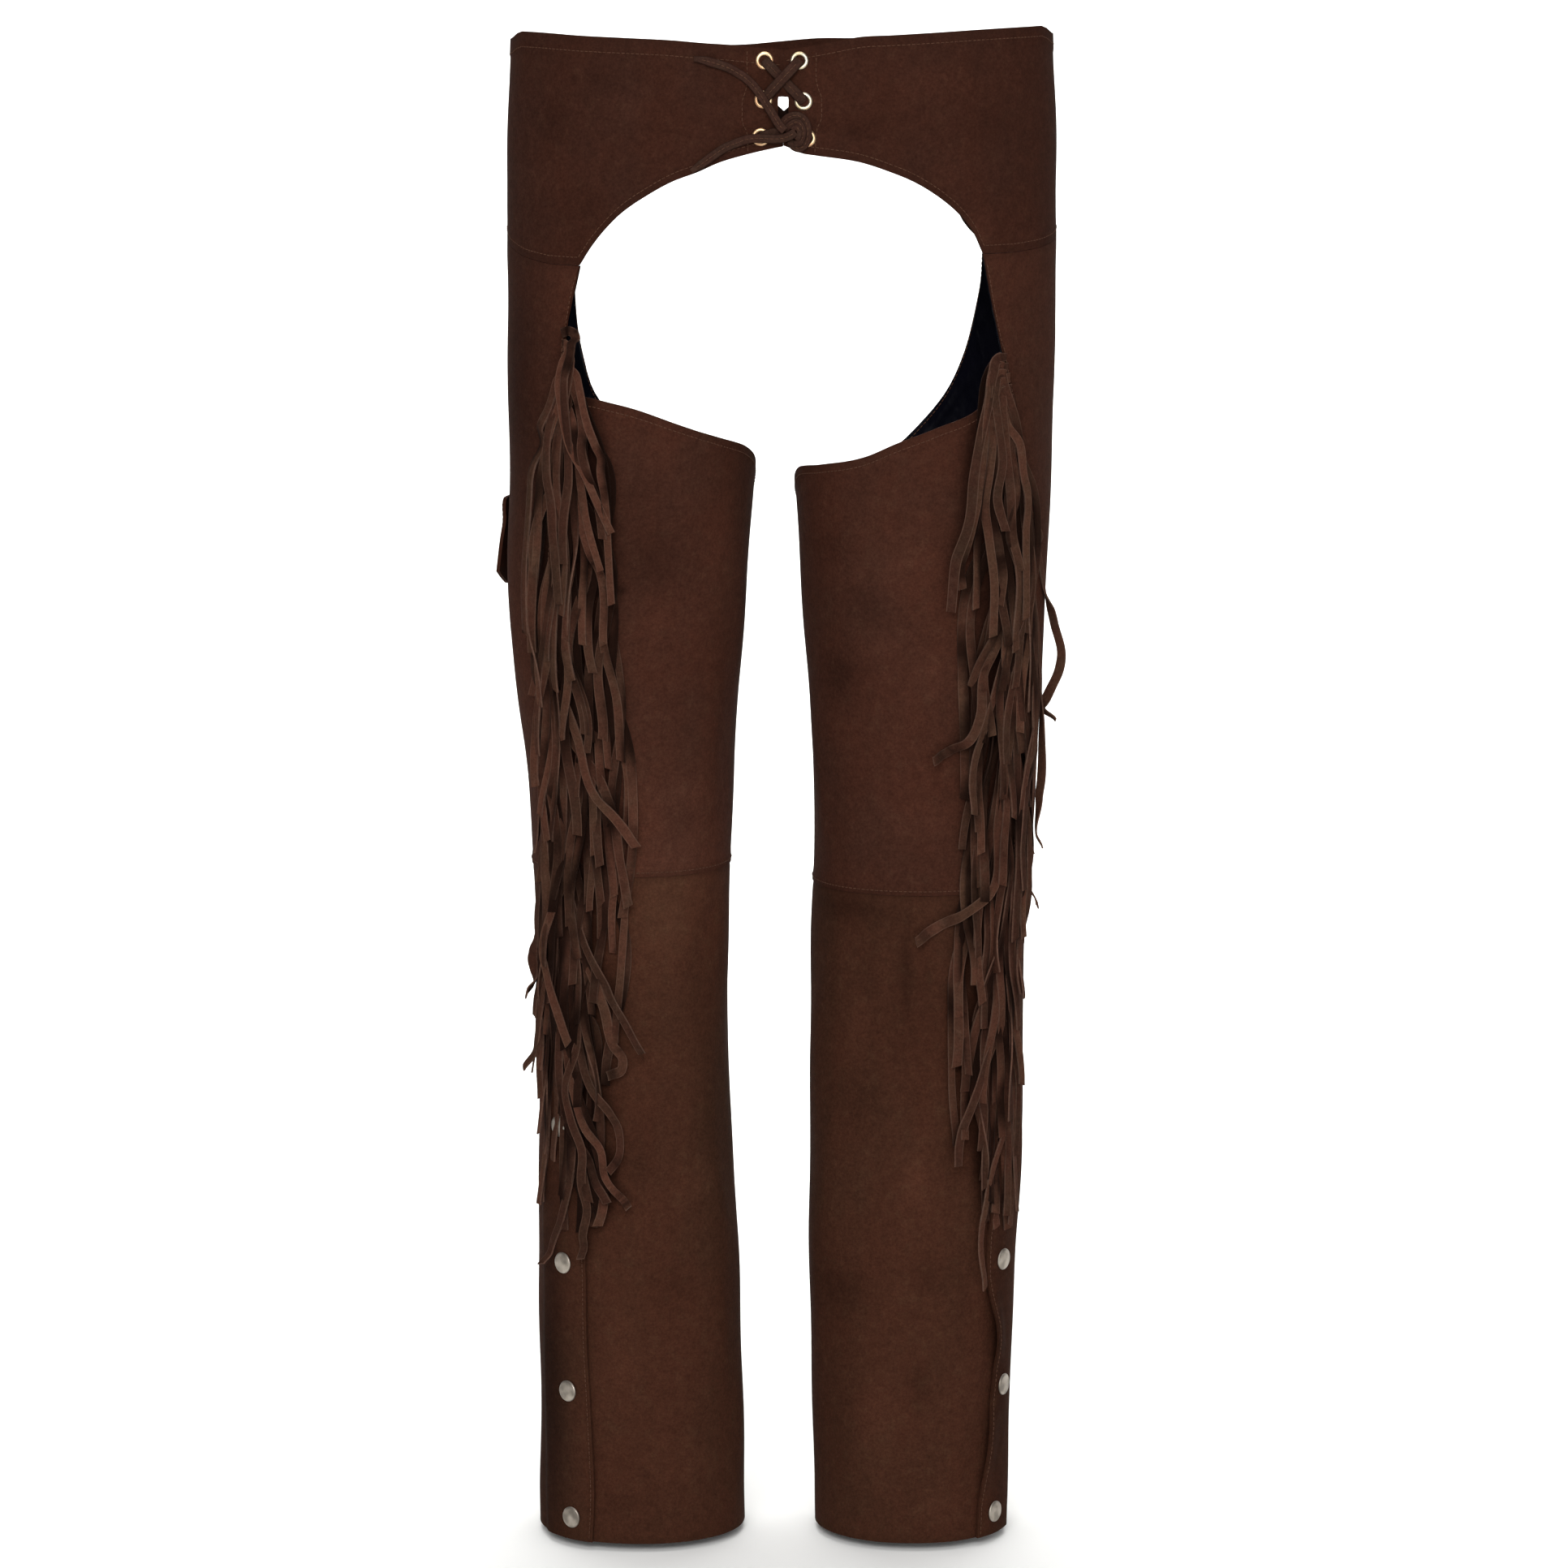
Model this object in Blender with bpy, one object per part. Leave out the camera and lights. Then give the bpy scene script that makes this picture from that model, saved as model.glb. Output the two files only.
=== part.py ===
"""Fringed suede chaps, worn form, hanging from the waist.

The back of the chaps faces -Y and +Z is up.  The origin is the middle of the waist opening.
Lengths in the tables are millimetres and angles are degrees; MM and math.radians convert them.
"""
import math

import bmesh
import bpy
import numpy as np
from mathutils import Vector

MM = 0.001
WALL = 1.8 * MM             # thickness of the suede
LINING_WALL = 1.0 * MM      # thickness of the lining cloth
GAP = 0.3 * MM              # clearance wherever two pieces meet
HEM = -1045.0 * MM          # height of the trouser hem, the same all round

# ------------------------------------------------------------------ small tools


def soft_curve(at, xs, ys):
    """Smooth curve through the points (xs, ys): a cubic in each span, with averaged slopes."""
    xs = np.asarray(xs, float)
    ys = np.asarray(ys, float)
    if xs[0] > xs[-1]:
        xs = xs[::-1]
        ys = ys[::-1]
    slopes = np.gradient(ys, xs)
    at = np.clip(np.asarray(at, float), xs[0], xs[-1])
    span = np.clip(np.searchsorted(xs, at, side="right") - 1, 0, len(xs) - 2)
    width = xs[span + 1] - xs[span]
    t = (at - xs[span]) / width
    start = ys[span] * (1 + 2 * t) * (1 - t) ** 2 + slopes[span] * width * t * (1 - t) ** 2
    end = ys[span + 1] * (3 - 2 * t) * t ** 2 + slopes[span + 1] * width * t ** 2 * (t - 1)
    return start + end


def ease(t):
    """0 to 1 with flat ends."""
    t = np.clip(t, 0.0, 1.0)
    return t * t * (3.0 - 2.0 * t)


def finish_material(name, rgb, roughness, metallic=0.0):
    material = bpy.data.materials.new(name)
    material.use_nodes = True
    shader = material.node_tree.nodes["Principled BSDF"]
    shader.inputs["Base Color"].default_value = (*rgb, 1.0)
    shader.inputs["Roughness"].default_value = roughness
    shader.inputs["Metallic"].default_value = metallic
    material.diffuse_color = (*rgb, 1.0)
    return material


def add_object(name, bm, material, smooth_angle=40.0):
    """Turn a bmesh into a named object whose faces point outwards."""
    bmesh.ops.recalc_face_normals(bm, faces=bm.faces)
    mesh = bpy.data.meshes.new(name)
    bm.to_mesh(mesh)
    bm.free()
    mesh.shade_smooth()
    mesh.set_sharp_from_angle(angle=math.radians(smooth_angle))
    thing = bpy.data.objects.new(name, mesh)
    bpy.context.scene.collection.objects.link(thing)
    thing.data.materials.append(material)
    return thing


def closed_wall(name, outer, inner, material):
    """Closed shell between two grids of points, rows x columns x 3, with a rim round its edge.

    Every cell is split along the same diagonal, so walls cut from one grid nest exactly.
    """
    rows, columns, _ = outer.shape
    bm = bmesh.new()
    front = [[bm.verts.new(p) for p in row] for row in outer]
    back = [[bm.verts.new(p) for p in row] for row in inner]
    for i in range(rows - 1):
        for j in range(columns - 1):
            bm.faces.new((front[i][j], front[i][j + 1], front[i + 1][j + 1]))
            bm.faces.new((front[i][j], front[i + 1][j + 1], front[i + 1][j]))
            bm.faces.new((back[i][j], back[i + 1][j + 1], back[i][j + 1]))
            bm.faces.new((back[i][j], back[i + 1][j], back[i + 1][j + 1]))
    edge = [(0, j) for j in range(columns - 1)]
    edge += [(i, columns - 1) for i in range(rows - 1)]
    edge += [(rows - 1, j) for j in range(columns - 1, 0, -1)]
    edge += [(i, 0) for i in range(rows - 1, 0, -1)]
    for (i, j), (k, m) in zip(edge, edge[1:] + edge[:1]):
        bm.faces.new((front[k][m], front[i][j], back[i][j], back[k][m]))
    return add_object(name, bm, material)


# ------------------------------------------------------------------ the worn form

# The waist and hips are one flattened oval: half breadth and half depth at each height.
HIPS_CENTRE_X = -1.5 * MM
HIPS_SQUARENESS = 2.2
HIPS = {  # height: (half breadth, half depth)
    10: (184.0, 107.0),
    -60: (186.5, 111.0),
    -130: (188.0, 114.0),
    -200: (187.5, 113.0),
    -330: (187.5, 110.0),
}

# Each leg is a rounder oval whose centre and size drift from thigh to hem.
LEG_SQUARENESS = 2.1
LEGS = {
    "left": dict(
        side=-1.0,
        knee=-574.0 * MM,
        ovals={  # height: (centre x, half breadth, centre y, half depth)
            -140: (-104.0, 86.0, 0.0, 92.0),
            -290: (-104.5, 84.5, -2.0, 90.0),
            -400: (-108.5, 81.0, 0.0, 83.0),
            -510: (-106.5, 72.0, 2.0, 75.0),
            -655: (-106.0, 67.0, 2.0, 69.0),
            -740: (-104.5, 67.0, 0.0, 69.0),
            -860: (-102.0, 70.0, 0.0, 70.0),
            -1050: (-100.0, 72.5, 0.0, 71.0),
        },
        # angle of the fringed outer seam, from straight out (0) towards the back (90)
        outseam={-200: 58.0, -305: 56.0, -531: 48.0, -662: 43.0, -1050: 40.0},
        outseam_top=-205.0 * MM,
        flap_edge={-662: 43.0, -700: 50.0, -760: 59.0, -850: 61.0, -900: 61.0, -1010: 65.0, -1050: 63.0},
        underlap={-662: 43.0, -700: 38.0, -760: 33.0, -1050: 35.0},
        snap_angles=(44.0, 46.5, 48.5, 50.5),
        # strip of the front panel that shows behind, from the yoke down to the outer seam
        strip_edge={67.0: -155.0, 63.5: -168.0, 60.5: -187.0, 58.0: -205.0},
        back_top={58.0: -236.0, 62.0: -240.0, 77.0: -245.0, 92.0: -250.0, 112.0: -260.0,
                  137.0: -273.0, 154.0: -280.5, 169.0: -289.0, 180.0: -298.0, 190.0: -314.0},
        front_top={-59.0: -184.0, -60.5: -207.0, -64.0: -229.0, -70.0: -254.0, -84.0: -277.0,
                   -106.0: -294.0, -136.0: -307.0, -170.0: -314.0},
        yoke_corner_front=(-58.5, -152.0),
    ),
    "right": dict(
        side=1.0,
        knee=-587.0 * MM,
        ovals={
            -140: (96.0, 90.0, 0.0, 92.0),
            -290: (95.5, 88.5, -2.0, 90.0),
            -400: (97.0, 84.0, 0.0, 83.0),
            -510: (97.5, 77.5, 2.0, 75.0),
            -655: (93.0, 74.0, 2.0, 70.0),
            -740: (92.5, 74.5, 0.0, 70.0),
            -860: (90.0, 71.5, 0.0, 70.0),
            -1050: (89.5, 67.5, 0.0, 69.0),
        },
        outseam={-212: 54.5, -238: 51.0, -270: 45.5, -305: 41.5, -400: 40.0, -662: 38.0, -1050: 34.0},
        outseam_top=-212.0 * MM,
        flap_edge={-662: 38.0, -700: 41.0, -760: 44.0, -870: 46.0, -905: 41.0, -925: 40.0, -955: 42.0,
                   -1020: 50.0, -1050: 51.0},
        underlap={-662: 38.0, -700: 30.0, -760: 21.0, -1050: 21.0},
        snap_angles=(33.0, 34.0, 30.0, 37.0),
        strip_edge={65.7: -147.0, 64.5: -154.0, 62.5: -167.0, 54.5: -212.0},
        back_top={54.0: -220.0, 57.0: -228.0, 66.0: -250.0, 87.0: -264.0, 104.0: -274.0,
                  119.0: -284.0, 143.0: -291.5, 166.0: -297.0, 180.0: -307.0, 190.0: -316.0},
        front_top={-61.5: -173.0, -64.5: -197.0, -70.5: -229.0, -78.0: -253.0, -90.0: -276.0,
                   -105.0: -297.0, -136.0: -311.0, -170.0: -316.0},
        yoke_corner_front=(-61.0, -150.0),
    ),
}
INSEAM_TURN = 190.0         # the inner leg seam, measured round the back
HIP_TOP = -160.0 * MM       # above this the leg panels lie on the hips oval
THIGH_TOP = -325.0 * MM     # below this they lie on the leg's own oval
INNER_START = math.radians(110.0)       # round the inner thigh the leg keeps its own oval
INNER_RUN = math.radians(45.0)
HIP_REACH = 92.0 * MM       # distance from leg centre to hips oval, near enough to find its angle


def oval_radius(angle, half_x, half_y, squareness):
    """Distance from an oval's centre to its edge at an angle; 2 is an ellipse, more is squarer."""
    across = (np.abs(np.cos(angle)) / half_x) ** squareness
    along = (np.abs(np.sin(angle)) / half_y) ** squareness
    return (across + along) ** (-1.0 / squareness)


def column(table, index, height):
    """One column of a table of millimetre values, read at heights in metres."""
    rows = sorted(table)
    return soft_curve(np.asarray(height) / MM, rows, [table[r][index] for r in rows]) * MM


def angle_at(table, height):
    """A table of height: angle in degrees, read at heights in metres, in radians."""
    rows = sorted(table)
    return np.radians(soft_curve(np.asarray(height) / MM, rows, [table[r] for r in rows]))


def hips_point(side, angle, height):
    """Point on the hips oval; angle 0 is straight out to the side and 90 is the centre back."""
    radius = oval_radius(angle, column(HIPS, 0, height), column(HIPS, 1, height), HIPS_SQUARENESS)
    x = HIPS_CENTRE_X + side * radius * np.cos(angle)
    return np.stack([x, -radius * np.sin(angle), height + 0 * angle], axis=-1)


def hips_angle(leg, angle):
    """The angle round the hips that an angle round the leg's own centre looks towards."""
    offset = abs(leg["ovals"][-140][0] * MM - HIPS_CENTRE_X)
    return np.arctan2(HIP_REACH * np.sin(angle), offset + HIP_REACH * np.cos(angle))


def leg_point(leg, angle, height):
    """Point of the leg's outer face: its own oval, melting into the hips oval above the thigh."""
    ovals = leg["ovals"]
    radius = oval_radius(angle, column(ovals, 1, height), column(ovals, 3, height), LEG_SQUARENESS)
    x = column(ovals, 0, height) + leg["side"] * radius * np.cos(angle)
    y = column(ovals, 2, height) - radius * np.sin(angle)
    own = np.stack([x, y, height + 0 * angle], axis=-1)
    share = ease((height - THIGH_TOP) / (HIP_TOP - THIGH_TOP))
    share = (share * (1.0 - ease((np.abs(angle) - INNER_START) / INNER_RUN)))[..., None]
    return own + share * (hips_point(leg["side"], hips_angle(leg, angle), height) - own)


def outward(point_at, side, angle, height):
    """Unit normal of a surface given as point_at(angle, height), pointing away from the body."""
    step_angle = 1e-3
    step_height = 0.5 * MM
    along = point_at(angle + step_angle, height) - point_at(angle - step_angle, height)
    up = point_at(angle, height + step_height) - point_at(angle, height - step_height)
    normal = -side * np.cross(along, up)
    return normal / np.linalg.norm(normal, axis=-1, keepdims=True)


def leg_surface(leg, angle, height, lift=0.0):
    """Points of the leg surface moved outwards by lift, and the outward normals there."""
    def point_at(a, h):
        return leg_point(leg, a, h)
    normal = outward(point_at, leg["side"], angle, height)
    lift = np.asarray(lift)[..., None] if np.ndim(lift) else lift
    return point_at(angle, height) + normal * lift, normal


def hips_surface(side, angle, height, lift=0.0):
    def point_at(a, h):
        return hips_point(side, a, h)
    normal = outward(point_at, side, angle, height)
    lift = np.asarray(lift)[..., None] if np.ndim(lift) else lift
    return point_at(angle, height) + normal * lift, normal


# ------------------------------------------------------------------ cutting the panels

SEAM_TURN = 0.5 * GAP / (72.0 * MM)     # half a seam gap as an angle round the leg


def edge_line(points, count):
    """Angles (radians) and heights (m) of count points spread evenly along a cut edge."""
    points = np.array([(math.radians(a) * 75.0, h) for a, h in points])
    steps = np.linalg.norm(np.diff(points, axis=0), axis=1)
    reach = np.concatenate([[0.0], np.cumsum(steps)])
    at = np.linspace(0.0, reach[-1], count)
    angle = np.interp(at, reach, points[:, 0]) / 75.0
    height = np.interp(at, reach, points[:, 1]) * MM
    return np.stack([angle, height], axis=-1)


def table_line(table, count):
    """A cut edge given as angle: height, smoothed, and spread evenly along its length."""
    angles = list(table)
    heights = [table[a] for a in angles]
    reach = np.concatenate([[0.0], np.cumsum(np.hypot(np.diff(angles) * 1.3, np.diff(heights)))])
    at = np.linspace(0.0, reach[-1], 60)
    fine = np.stack([soft_curve(at, reach, angles), soft_curve(at, reach, heights)], axis=-1)
    return edge_line(fine, count)


def coons(bottom, top, first, last):
    """Grid of (angle, height) between four cut edges, blended straight across from each pair."""
    rows = len(first)
    columns = len(bottom)
    s = np.linspace(0.0, 1.0, columns)[None, :, None]
    t = np.linspace(0.0, 1.0, rows)[:, None, None]
    ruled = (1 - t) * bottom[None] + t * top[None] + (1 - s) * first[:, None] + s * last[:, None]
    corners = ((1 - s) * (1 - t) * bottom[0] + s * (1 - t) * bottom[-1]
               + (1 - s) * t * top[0] + s * t * top[-1])
    return ruled - corners


def straight(start, end, count):
    t = np.linspace(0.0, 1.0, count)[:, None]
    return (1 - t) * np.array(start) + t * np.array(end)


def seam_side(angle_table, heights, turn):
    """A near-upright edge that follows a table of height: angle."""
    return np.stack([angle_at(angle_table, heights) + turn, heights], axis=-1)


def leg_wall(name, leg, grid, material, lift=0.0, wall=WALL):
    """A panel cut from the leg surface as a closed wall; lift may vary over the grid."""
    outer, normal = leg_surface(leg, grid[..., 0], grid[..., 1], lift)
    return closed_wall(name, outer, outer - normal * wall, material)


SEAM_COLUMNS = 7            # points along the yoke seam, shared by the yoke and the leg panel
OPENING_COLUMNS = 10        # points along the front opening


def front_top_line(leg):
    """Top edge of the front panel: crotch to yoke, along the yoke seam, then down the strip."""
    front = dict(reversed(list(leg["front_top"].items())))
    corner_angle, corner_height = leg["yoke_corner_front"]
    front[corner_angle] = corner_height
    opening = table_line(front, OPENING_COLUMNS)
    strip = table_line(leg["strip_edge"], 3)
    seam = edge_line(yoke_seam_points(leg), SEAM_COLUMNS)
    seam[:, 1] -= 0.5 * GAP
    opening[-1, 1] -= 0.5 * GAP
    strip[0, 1] -= 0.5 * GAP
    return np.concatenate([opening[:-1], seam, strip[1:]])


YOKE_SEAM_SIDE = -138.0     # height of the yoke seam at the side of the hip


def yoke_seam_points(leg):
    """The yoke seam from its front corner over the hip to its back corner, as angle, height."""
    front_angle, front_height = leg["yoke_corner_front"]
    back_angle = next(iter(leg["strip_edge"]))
    back_height = leg["strip_edge"][back_angle]
    points = []
    for share in np.linspace(-1.0, 1.0, 9):
        end_angle, end_height = (front_angle, front_height) if share < 0 else (back_angle, back_height)
        drop = math.sin(0.5 * math.pi * min(1.0, abs(share) * 1.15))
        points.append((abs(share) * end_angle, YOKE_SEAM_SIDE + (end_height - YOKE_SEAM_SIDE) * drop))
    return points


LAP_CLEAR = 3.0             # the flap is clear this many degrees before the back panel's edge
LAP_STEP = 9.0              # and rises over this many
LAP_LIFT = WALL + 2.0 * GAP
LAP_TOP = -648.0 * MM       # the lap begins under the fringe
FLAP_TOP = -675.0 * MM      # and from here down the two panels' edges pass each other


def flap_lift(leg, grid):
    """How far the front panel rides outwards to lap over the back panel beside the snaps."""
    height = grid[..., 1]
    before_lap = angle_at(leg["underlap"], height) - grid[..., 0]
    near_edge = ease(1.0 - (before_lap / math.radians(1.0) - LAP_CLEAR) / LAP_STEP)
    below_fringe = ease((LAP_TOP - height) / (20.0 * MM))
    return LAP_LIFT * near_edge * below_fringe


# ------------------------------------------------------------------ yoke

YOKE_BOTTOM_BACK = {  # angle round the hips: height of the yoke's lower edge behind
    "left": {90.0: -74.0, 77.0: -80.0, 69.0: -85.0, 63.0: -91.0, 56.0: -97.0, 48.0: -108.0,
             42.5: -118.0, 38.0: -130.0, 34.5: -142.0},
    "right": {90.0: -77.0, 79.0: -80.0, 63.0: -85.5, 56.0: -91.0, 50.0: -97.0, 43.5: -107.0,
              38.5: -118.0, 34.8: -130.0},
}
YOKE_BOTTOM_FRONT = {-34.0: -138.0, -38.0: -118.0, -45.0: -95.0, -54.0: -75.0, -66.0: -59.0,
                     -78.0: -51.5, -90.0: -49.0}
YOKE_TOP = {  # angle round the hips: height of the waist edge; the right hip stands higher
    "left": {90.0: -10.2, 80.0: -8.6, 72.0: -7.0, 64.0: -6.0, 54.0: -4.2, 43.0: -3.0, 31.0: -1.8,
             18.0: 0.0, 6.0: 0.0, -6.0: -1.5, -18.0: -4.2, -31.0: -7.3, -43.0: -9.2, -56.0: -11.4,
             -66.0: -12.9, -76.0: -12.7, -90.0: -10.4},
    "right": {90.0: -10.9, 80.0: -8.0, 72.0: -5.2, 64.0: -2.0, 54.0: -0.9, 43.0: 0.5, 31.0: 2.3,
              18.0: 3.6, 6.0: 3.8, -6.0: 1.8, -18.0: -0.4, -31.0: -3.2, -43.0: -6.0, -56.0: -7.8,
              -66.0: -8.2, -76.0: -8.2, -90.0: -10.4},
}
PLACKET = {  # height: half width of the laced gap at the centre back
    -10: 0.2, -20: 0.2, -31: 0.25, -36: 1.2, -42: 2.8, -48: 3.2, -54: 2.6, -59: 1.0, -63: 0.3,
    -70: 0.2, -78: 0.2,
}
YOKE_ROWS = 6


def yoke_grid(name, leg):
    """Columns run from the laced back edge round the hip to the centre front seam."""
    back = YOKE_BOTTOM_BACK[name]
    back_angle = next(iter(leg["strip_edge"]))
    back_corner = (math.degrees(hips_angle(leg, math.radians(back_angle))), leg["strip_edge"][back_angle])
    front_corner = (math.degrees(hips_angle(leg, math.radians(leg["yoke_corner_front"][0]))),
                    leg["yoke_corner_front"][1])
    behind = dict(back)
    behind[back_corner[0]] = back_corner[1]
    before = {front_corner[0]: front_corner[1], **YOKE_BOTTOM_FRONT}
    seam = np.array(edge_line(reversed(yoke_seam_points(leg)), SEAM_COLUMNS))
    seam[:, 0] = hips_angle(leg, seam[:, 0])
    seam[:, 1] += 0.5 * GAP
    first = table_line(behind, 9)
    last = table_line(before, 7)
    first[-1, 1] += 0.5 * GAP
    last[0, 1] += 0.5 * GAP
    bottom = np.concatenate([first[:-1], seam, last[1:]])
    edge = YOKE_TOP[name]
    angles = list(edge)
    corners = [0, len(first) - 1, len(first) + len(seam) - 2, len(bottom) - 1]
    shares = np.interp(np.arange(len(bottom)), corners, [90.0, 31.0, -31.0, -90.0])
    shares = 0.5 * (shares + np.degrees(bottom[:, 0]))
    heights = soft_curve(-shares, [-a for a in angles], [edge[a] for a in angles])
    top = np.stack([np.radians(shares), heights * MM], axis=-1)
    t = np.linspace(0.0, 1.0, YOKE_ROWS)[:, None, None]
    grid = (1 - t) * bottom[None] + t * top[None]
    depth = column(HIPS, 1, grid[:, 0, 1])
    heights_back = sorted(PLACKET)
    gap = soft_curve(grid[:, 0, 1] / MM, heights_back, [PLACKET[h] for h in heights_back]) * MM
    reach = gap + leg["side"] * (-0.5 * MM - HIPS_CENTRE_X)
    grid[:, 0, 0] = math.radians(90.0) - reach / depth
    grid[:, -1, 0] = math.radians(-90.0) + 0.5 * GAP / depth
    return grid


EYELETS = {  # centres on the back of the yoke: across, height
    "left": ((-12.9, -17.5), (-13.7, -43.2), (-15.4, -67.8)),
    "right": ((10.2, -17.5), (12.9, -44.3), (15.1, -68.6)),
}
EYELET_BORE = 3.2 * MM
EYELET_BARREL = 3.8 * MM
EYELET_FLANGE = 6.0 * MM
EYELET_HEIGHT = 0.9 * MM
EYELET_HOLE = EYELET_BARREL + GAP
EYELET_SIDES = 10


def eyelet_frame(name, across, height):
    """Where an eyelet sits: its centre on the yoke's outer face and the outward direction."""
    side = LEGS[name]["side"]
    depth = 108.5 * MM
    angle = np.array(math.pi / 2 - side * (across * MM - HIPS_CENTRE_X) / depth)
    for _ in range(4):
        error = hips_point(side, angle, np.array(height * MM))[0] - across * MM
        angle = angle + side * error / depth
    point, normal = hips_surface(side, angle, np.array(height * MM))
    return Vector(point), Vector(normal)


def turned_ring(name, profile, centre, axis, material):
    """Closed ring: a profile of (radius, height) points carried round an axis."""
    bm = bmesh.new()
    turn = axis.to_track_quat("Z", "Y")
    loops = []
    for i in range(EYELET_SIDES):
        a = 2 * math.pi * i / EYELET_SIDES
        loops.append([bm.verts.new(centre + turn @ Vector((r * math.cos(a), r * math.sin(a), h)))
                      for r, h in profile])
    for i in range(EYELET_SIDES):
        here = loops[i]
        there = loops[(i + 1) % EYELET_SIDES]
        for j in range(len(profile)):
            k = (j + 1) % len(profile)
            bm.faces.new((here[j], there[j], there[k], here[k]))
    return add_object(name, bm, material, 60.0)


def cut_eyelet_holes(yoke, name):
    """Punch the three lace holes through a yoke half."""
    for number, (across, height) in enumerate(EYELETS[name], 1):
        centre, axis = eyelet_frame(name, across, height)
        bm = bmesh.new()
        bmesh.ops.create_cone(bm, cap_ends=True, segments=EYELET_SIDES, radius1=EYELET_HOLE,
                              radius2=EYELET_HOLE, depth=8 * WALL)
        cutter = add_object("punch_%s_%d" % (name, number), bm, yoke.data.materials[0])
        cutter.rotation_mode = "QUATERNION"
        cutter.rotation_quaternion = axis.to_track_quat("Z", "Y")
        cutter.location = centre
        cutter.hide_render = True
        cutter.display_type = "WIRE"
        cut = yoke.modifiers.new("hole_%d" % number, "BOOLEAN")
        cut.object = cutter
        cut.operation = "DIFFERENCE"
        cut.solver = "EXACT"


def eyelet_profile():
    """Rolled front flange, barrel through the suede, and a flat washer behind it."""
    front = GAP
    behind = -WALL - GAP
    return [(EYELET_BORE, behind - 0.7 * MM), (EYELET_BORE, front + 0.5 * MM),
            (EYELET_BORE + 1.3 * MM, front + EYELET_HEIGHT), (EYELET_FLANGE, front),
            (EYELET_BARREL, front), (EYELET_BARREL, behind), (EYELET_FLANGE - 0.5 * MM, behind - 0.2 * MM)]


# ------------------------------------------------------------------ fringe

STRANDS = 56                # cut strands in each outer seam
STRAND_LENGTH = 196.0 * MM
STRAND_WIDTH = 5.2 * MM
STRAND_THICK = 1.1 * MM
STRIP_WIDTH = 3.2 * MM      # the narrow strip that the strands are cut from
STRIP_THICK = 1.6 * MM
STRIP_SEAT = 0.6 * MM       # its clearance over the panels, which meet under it in flat facets
FRINGE_BOTTOM = -644.0 * MM
LANE_PITCH = 7.0 * MM       # the strands fall in lanes side by side
GROUP = "+8 +7 -5 +6 -4 +5 +4 -3 +3 -2 +2 +1 -1"     # lanes in turn, top root first
FIRST_LANE = 9              # the top strands start with the near lanes
LANE_RUN = 13.0 * MM        # drop in which a strand swings out most of the way to its lane
SHINGLE = 0.034             # rise of a strand from the leg over its drop, so it clears those below
WANDER = 0.5 * MM           # how unevenly the strands hang
ROOT_RISE = 3.0 * MM
ROOT_RUN = 8.0 * MM         # drop in which a strand climbs over the roots below it
STRAND_RINGS = (0.0, 0.045, 0.14, 0.42, 0.71, 1.0)   # shares of the length


def strand_path(leg, root_height, lane, number):
    """Angle, height and lift along a strand that leaves the seam and drops into its lane."""
    wander = math.sin(2.4 * number) + 0.6 * math.sin(5.1 * number + 1.0)
    length = STRAND_LENGTH * (1.0 + 0.05 * math.sin(3.7 * number))
    drop = np.array(STRAND_RINGS) * length
    swing = lane * LANE_PITCH + math.copysign(1.5 * MM, lane)
    aside = math.copysign(0.5 * STRIP_WIDTH, lane) + swing * (1 - np.exp(-drop / LANE_RUN))
    aside = aside + WANDER * wander * ease(drop / length)
    height = root_height - drop
    radius = 78.0 * MM
    seam = angle_at(leg["outseam"], height)
    climb = ROOT_RISE * (1 - np.exp(-(drop / ROOT_RUN) ** 2))
    lift = 0.5 * STRIP_THICK + STRIP_SEAT + climb + SHINGLE * drop
    lift = lift + LAP_LIFT * ease((LAP_TOP + 10 * MM - height) / (25 * MM))
    lift[0] = 0.5 * STRIP_THICK + STRIP_SEAT
    return seam + aside / radius, height, lift


def fringe(name, leg, material):
    """Strip along the outer seam with every strand growing out of one side of it."""
    roots = np.linspace(leg["outseam_top"] - 6 * MM, FRINGE_BOTTOM, STRANDS)
    lanes = [int(word) for word in GROUP.split()]
    bm = bmesh.new()
    half = 0.5 * STRAND_WIDTH
    heights = np.sort(np.concatenate([roots + half, roots - half]))[::-1]
    seam = angle_at(leg["outseam"], heights)
    rings = []
    for turn, lift in ((-1, 0), (1, 0), (1, 1), (-1, 1)):
        angle = seam + turn * 0.5 * STRIP_WIDTH / (78.0 * MM)
        points, _ = leg_surface(leg, angle, heights, STRIP_SEAT + lift * STRIP_THICK + 0 * heights)
        rings.append([bm.verts.new(p) for p in points])
    low_minus, low_plus, top_plus, top_minus = rings
    last = len(heights) - 1
    bm.faces.new((low_minus[0], low_plus[0], top_plus[0], top_minus[0]))
    bm.faces.new((low_minus[last], low_plus[last], top_plus[last], top_minus[last]))
    for i in range(last):
        bm.faces.new((low_minus[i], low_plus[i], low_plus[i + 1], low_minus[i + 1]))
        bm.faces.new((top_minus[i], top_plus[i], top_plus[i + 1], top_minus[i + 1]))
        lane = lanes[(i // 2 + FIRST_LANE) % len(lanes)] if i % 2 == 0 else 0
        if lane <= 0:
            bm.faces.new((low_plus[i], top_plus[i], top_plus[i + 1], low_plus[i + 1]))
        if lane >= 0:
            bm.faces.new((low_minus[i], top_minus[i], top_minus[i + 1], low_minus[i + 1]))
        if lane:
            low, top = (low_plus, top_plus) if lane > 0 else (low_minus, top_minus)
            start = [low[i], top[i], top[i + 1], low[i + 1]]
            add_strand(bm, leg, start, roots[i // 2], lane, i // 2)
    return add_object(name, bm, material)


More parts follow.
